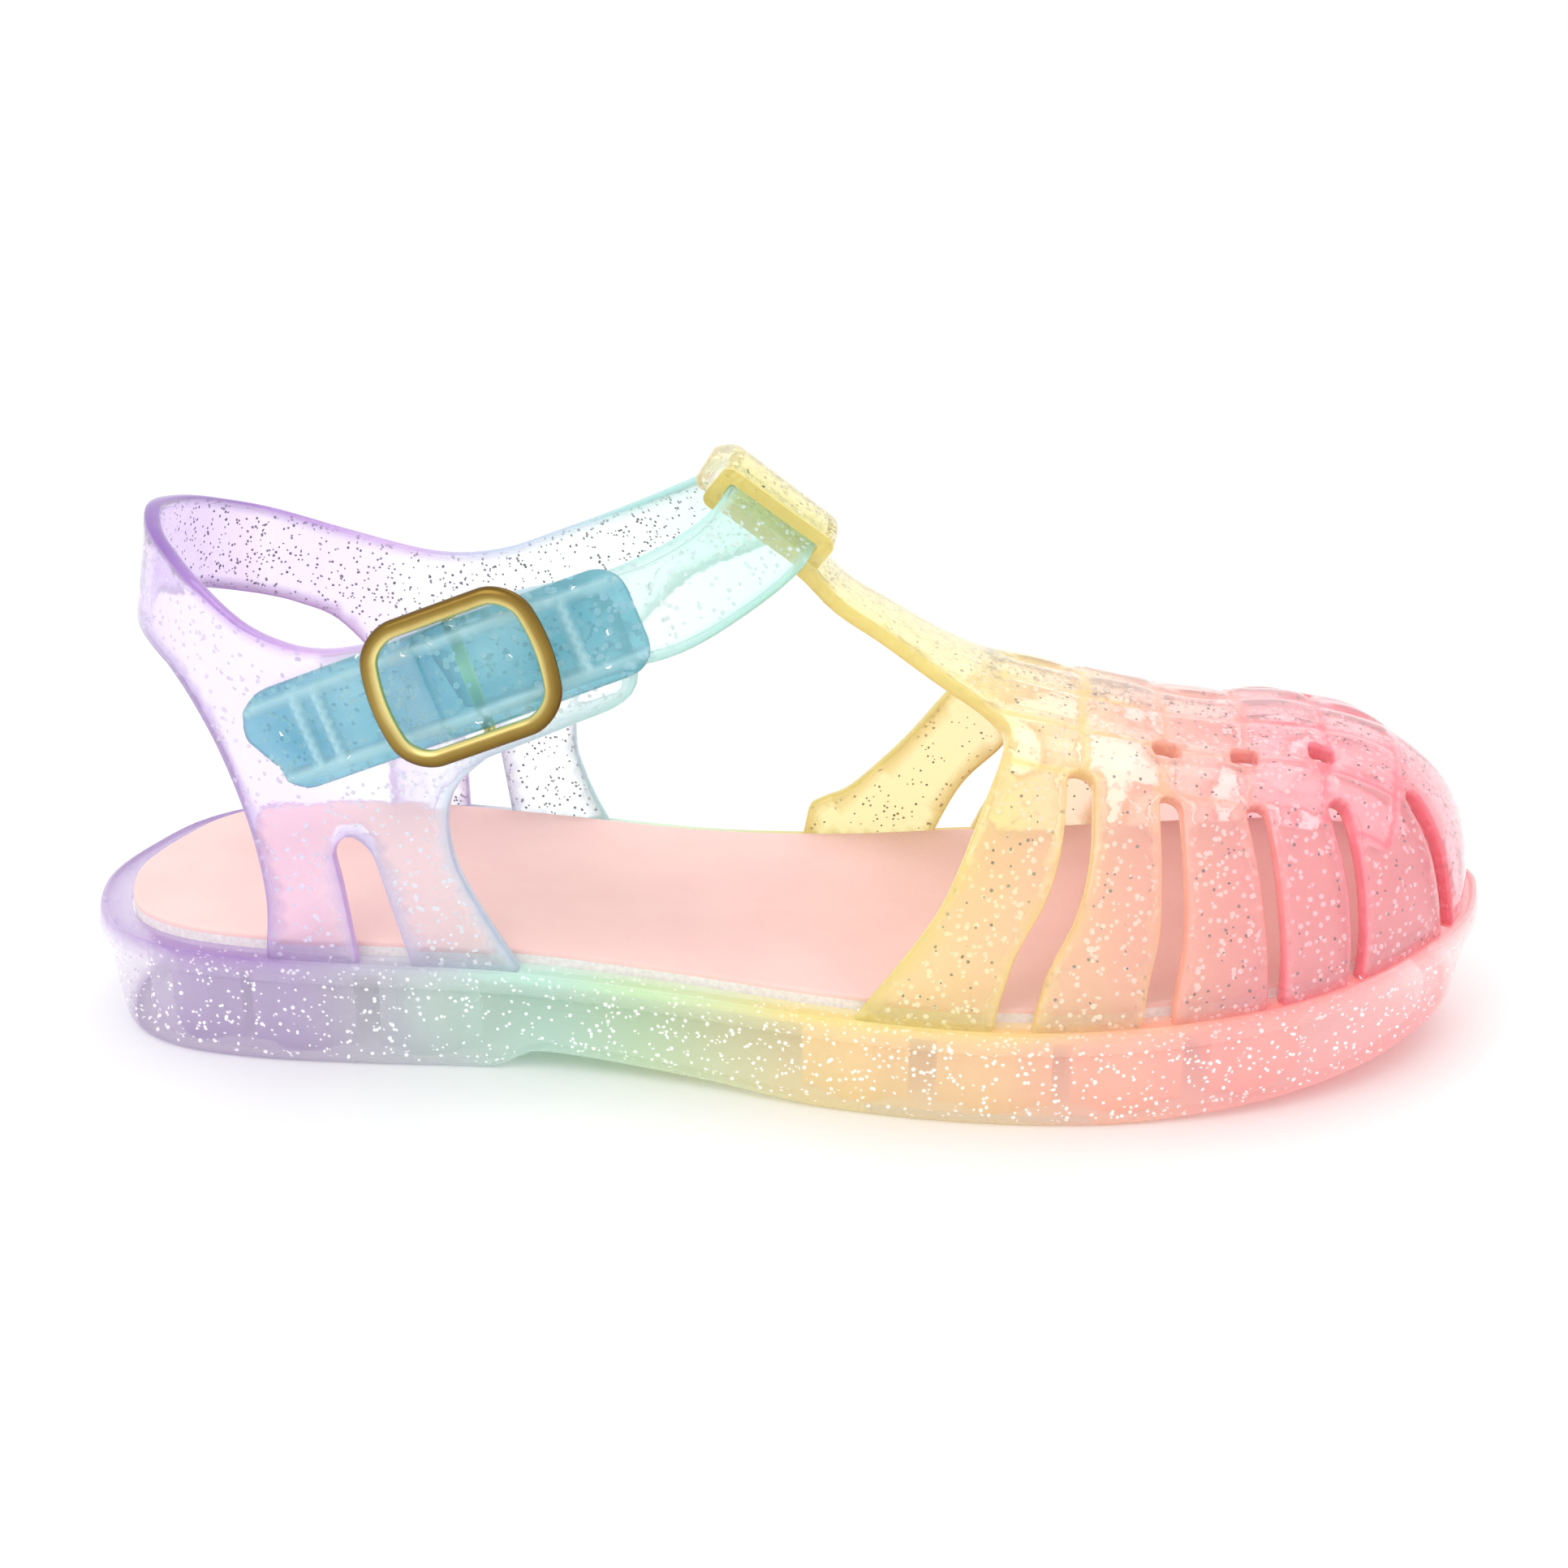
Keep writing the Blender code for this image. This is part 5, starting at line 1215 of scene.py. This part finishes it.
# Painted highlight share: 1 on the frame's inner edge and on the pin, 0 on its outer edge, where the ramp
# paints shade
painted_highlight, inner_bar = [], []
for v in metal.data.vertices:
    d = np.array(v.co) - c
    x, y = d @ e, d @ up
    x -= bow(x, y)
    x, y = abs(x) - BUCKLE_A + BUCKLE_CORNER, abs(y) - BUCKLE_B + BUCKLE_CORNER
    beyond = np.hypot(max(x, 0), max(y, 0)) + min(max(x, y), 0) - BUCKLE_CORNER
    painted_highlight.append(np.clip(0.5 - beyond / BUCKLE_BAR, 0, 1))
    inner_bar.append(float(beyond < -0.7 * BUCKLE_BAR))
store(metal, "painted_highlight", painted_highlight)
store(metal, "pin", inner_bar)
piece(metal, "buckle_metal", gold_mat, "buckle", GOLD_CREASE)

# Glitter: thin foil hexagons held inside the plastic. Spread of their tilt, least height over
# the floor, plastic left behind them, band along the middle that both sides share
FLAKE_TILT, FLOOR_CLEAR, LEFT_BEHIND, MIDDLE = 0.30, 0.0006, 0.0003, 0.004


def glitter(name, source, count, mat, slot, seed, depth, size, side=0):
    """Scatters count flakes under the faces of a piece; side -1 is near, 1 is far, 0 is both."""
    rng = np.random.default_rng(seed)
    mesh = source.data
    mesh.calc_loop_triangles()
    co = np.array([v.co for v in mesh.vertices])
    t = np.array([q.vertices[:] for q in mesh.loop_triangles])
    a, b, c = co[t[:, 0]], co[t[:, 1]], co[t[:, 2]]
    nrm = np.cross(b - a, c - a)
    area = np.linalg.norm(nrm, axis=1)
    nrm = nrm / np.maximum(area, 1e-15)[:, None]
    tree = BVHTree.FromPolygons(co.tolist(), t.tolist())
    pick = rng.choice(len(t), count, p=area / area.sum())
    r1, r2 = np.sqrt(rng.random(count))[:, None], rng.random(count)[:, None]
    spot = a[pick] * (1 - r1) + b[pick] * (r1 * (1 - r2)) + c[pick] * (r1 * r2)
    verts = []
    for here, n in zip(spot, nrm[pick]):
        if side * (here[1] - SHIFT) < -MIDDLE:
            continue
        sink = depth[0] + (depth[1] - depth[0]) * rng.random()
        p = here - n * sink
        hit = tree.ray_cast(Vector(here - n * 0.00005), Vector(-n))
        if p[2] < FLOOR_CLEAR or hit[0] is None or hit[3] < sink + LEFT_BEHIND:
            continue
        lean = unit(n + rng.normal(0, FLAKE_TILT, 3))
        e1 = unit(np.cross(lean, rng.normal(0, 1, 3)))
        e2 = np.cross(lean, e1)
        r = size * (0.6 + 0.6 * rng.random())
        verts += [p + (e1 * cos(j * pi / 3) + e2 * sin(j * pi / 3)) * r for j in range(6)]
    data = bpy.data.meshes.new(name)
    data.from_pydata(verts, [], [tuple(range(m, m + 6)) for m in range(0, len(verts), 6)])
    obj = bpy.data.objects.new(name, data)
    scene.collection.objects.link(obj)
    data.materials.append(mat)
    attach(obj, "root")


# Depths under the surface, from and to
IN_WALL = (0.0003, 0.0012)
IN_SKIRT = (0.0001, 0.0010)
IN_STRAP = (0.0001, 0.0004)
NEAR = (0.00006, 0.0006)
# Bright flakes are painted glints and dark flakes painted shade; the far sides get only dark ones
for row in [
        ("glitter_sole_bright", sole, 12000, painted_glint_glitter_mat, "clear_sole", 1, NEAR, 0.00034),
        ("glitter_sole_dark", sole, 4500, painted_shade_glitter_mat, "clear_sole", 2, NEAR, 0.00022),
        ("glitter_skirt", skirt, 4000, painted_glint_glitter_mat, "clear_sole", 8, IN_SKIRT, 0.00026),
        ("glitter_cage_bright", cage, 4200, painted_glint_glitter_mat, "clear_coral", 3, IN_WALL, 0.00034, -1),
        ("glitter_cage_dark", cage, 1100, painted_shade_glitter_mat, "clear_coral", 9, IN_WALL, 0.00022, -1),
        ("glitter_cage_far", cage, 2600, painted_shade_glitter_mat, "clear_coral", 4, IN_WALL, 0.00020, 1),
        ("glitter_rear_bright", rear, 2000, painted_glint_glitter_mat, "clear_lilac", 5, IN_WALL, 0.00032, -1),
        ("glitter_rear_far", rear, 4600, painted_shade_glitter_mat, "clear_lilac", 6, IN_WALL, 0.00020, 1),
        ("glitter_strap", strip, 300, painted_glint_glitter_mat, "strap_teal", 7, IN_STRAP, 0.00046)]:
    glitter(*row)

# Floor, light and camera
floor_mesh = bpy.data.meshes.new("floor")
floor_mesh.from_pydata([(-3, -3, 0), (3, -3, 0), (3, 3, 0), (-3, 3, 0)], [], [(0, 1, 2, 3)])
floor = bpy.data.objects.new("floor", floor_mesh)
scene.collection.objects.link(floor)
floor_mat, tree, bsdf = nodes_of("pale_floor")
fill(bsdf, {"Base Color": (0.93, 0.93, 0.93, 1), "Roughness": 0.9, "Specular IOR Level": 0.1})
floor_mesh.materials.append(floor_mat)

world = bpy.data.worlds.new("studio")
scene.world = world
world.use_nodes = True
fill(world.node_tree.nodes["Background"], {"Color": (1, 1, 1, 1), "Strength": 1.08})


def panel(name, spot, size, power):
    """Area light aimed at the middle of the sandal."""
    light = bpy.data.lights.new(name, "AREA")
    light.shape = "RECTANGLE"
    light.size, light.size_y = size
    light.energy = power
    obj = bpy.data.objects.new(name, light)
    obj.location = spot
    obj.rotation_euler = (Vector((0, 0, 0.03)) - Vector(spot)).to_track_quat("-Z", "Y").to_euler()
    scene.collection.objects.link(obj)


panel("key", (-0.35, -0.45, 0.75), (0.5, 0.5), 1.6)
panel("top", (0.20, 0.35, 0.85), (0.6, 0.4), 1.0)

# Camera fitted to the photograph: aim, angles, distance, focal length and width in pixels
TARGET = Vector((0.0, 0.0039 + SHIFT, 0.032))
TILT, YAW, DISTANCE = 22 * pi / 180, 3 * pi / 180, 0.330
FOCAL, WIDTH, SENSOR = 2973, 1932, 36.0
back = Vector((sin(YAW) * cos(TILT), -cos(YAW) * cos(TILT), sin(TILT)))
lens = bpy.data.cameras.new("camera")
lens.sensor_width = SENSOR
lens.lens = FOCAL / WIDTH * SENSOR
lens.clip_start = 0.01
camera = bpy.data.objects.new("camera", lens)
camera.location = TARGET + back * DISTANCE
camera.rotation_euler = (-back).to_track_quat("-Z", "Y").to_euler()
scene.collection.objects.link(camera)
scene.camera = camera
scene.view_settings.view_transform = "Standard"
scene.view_settings.look = "None"
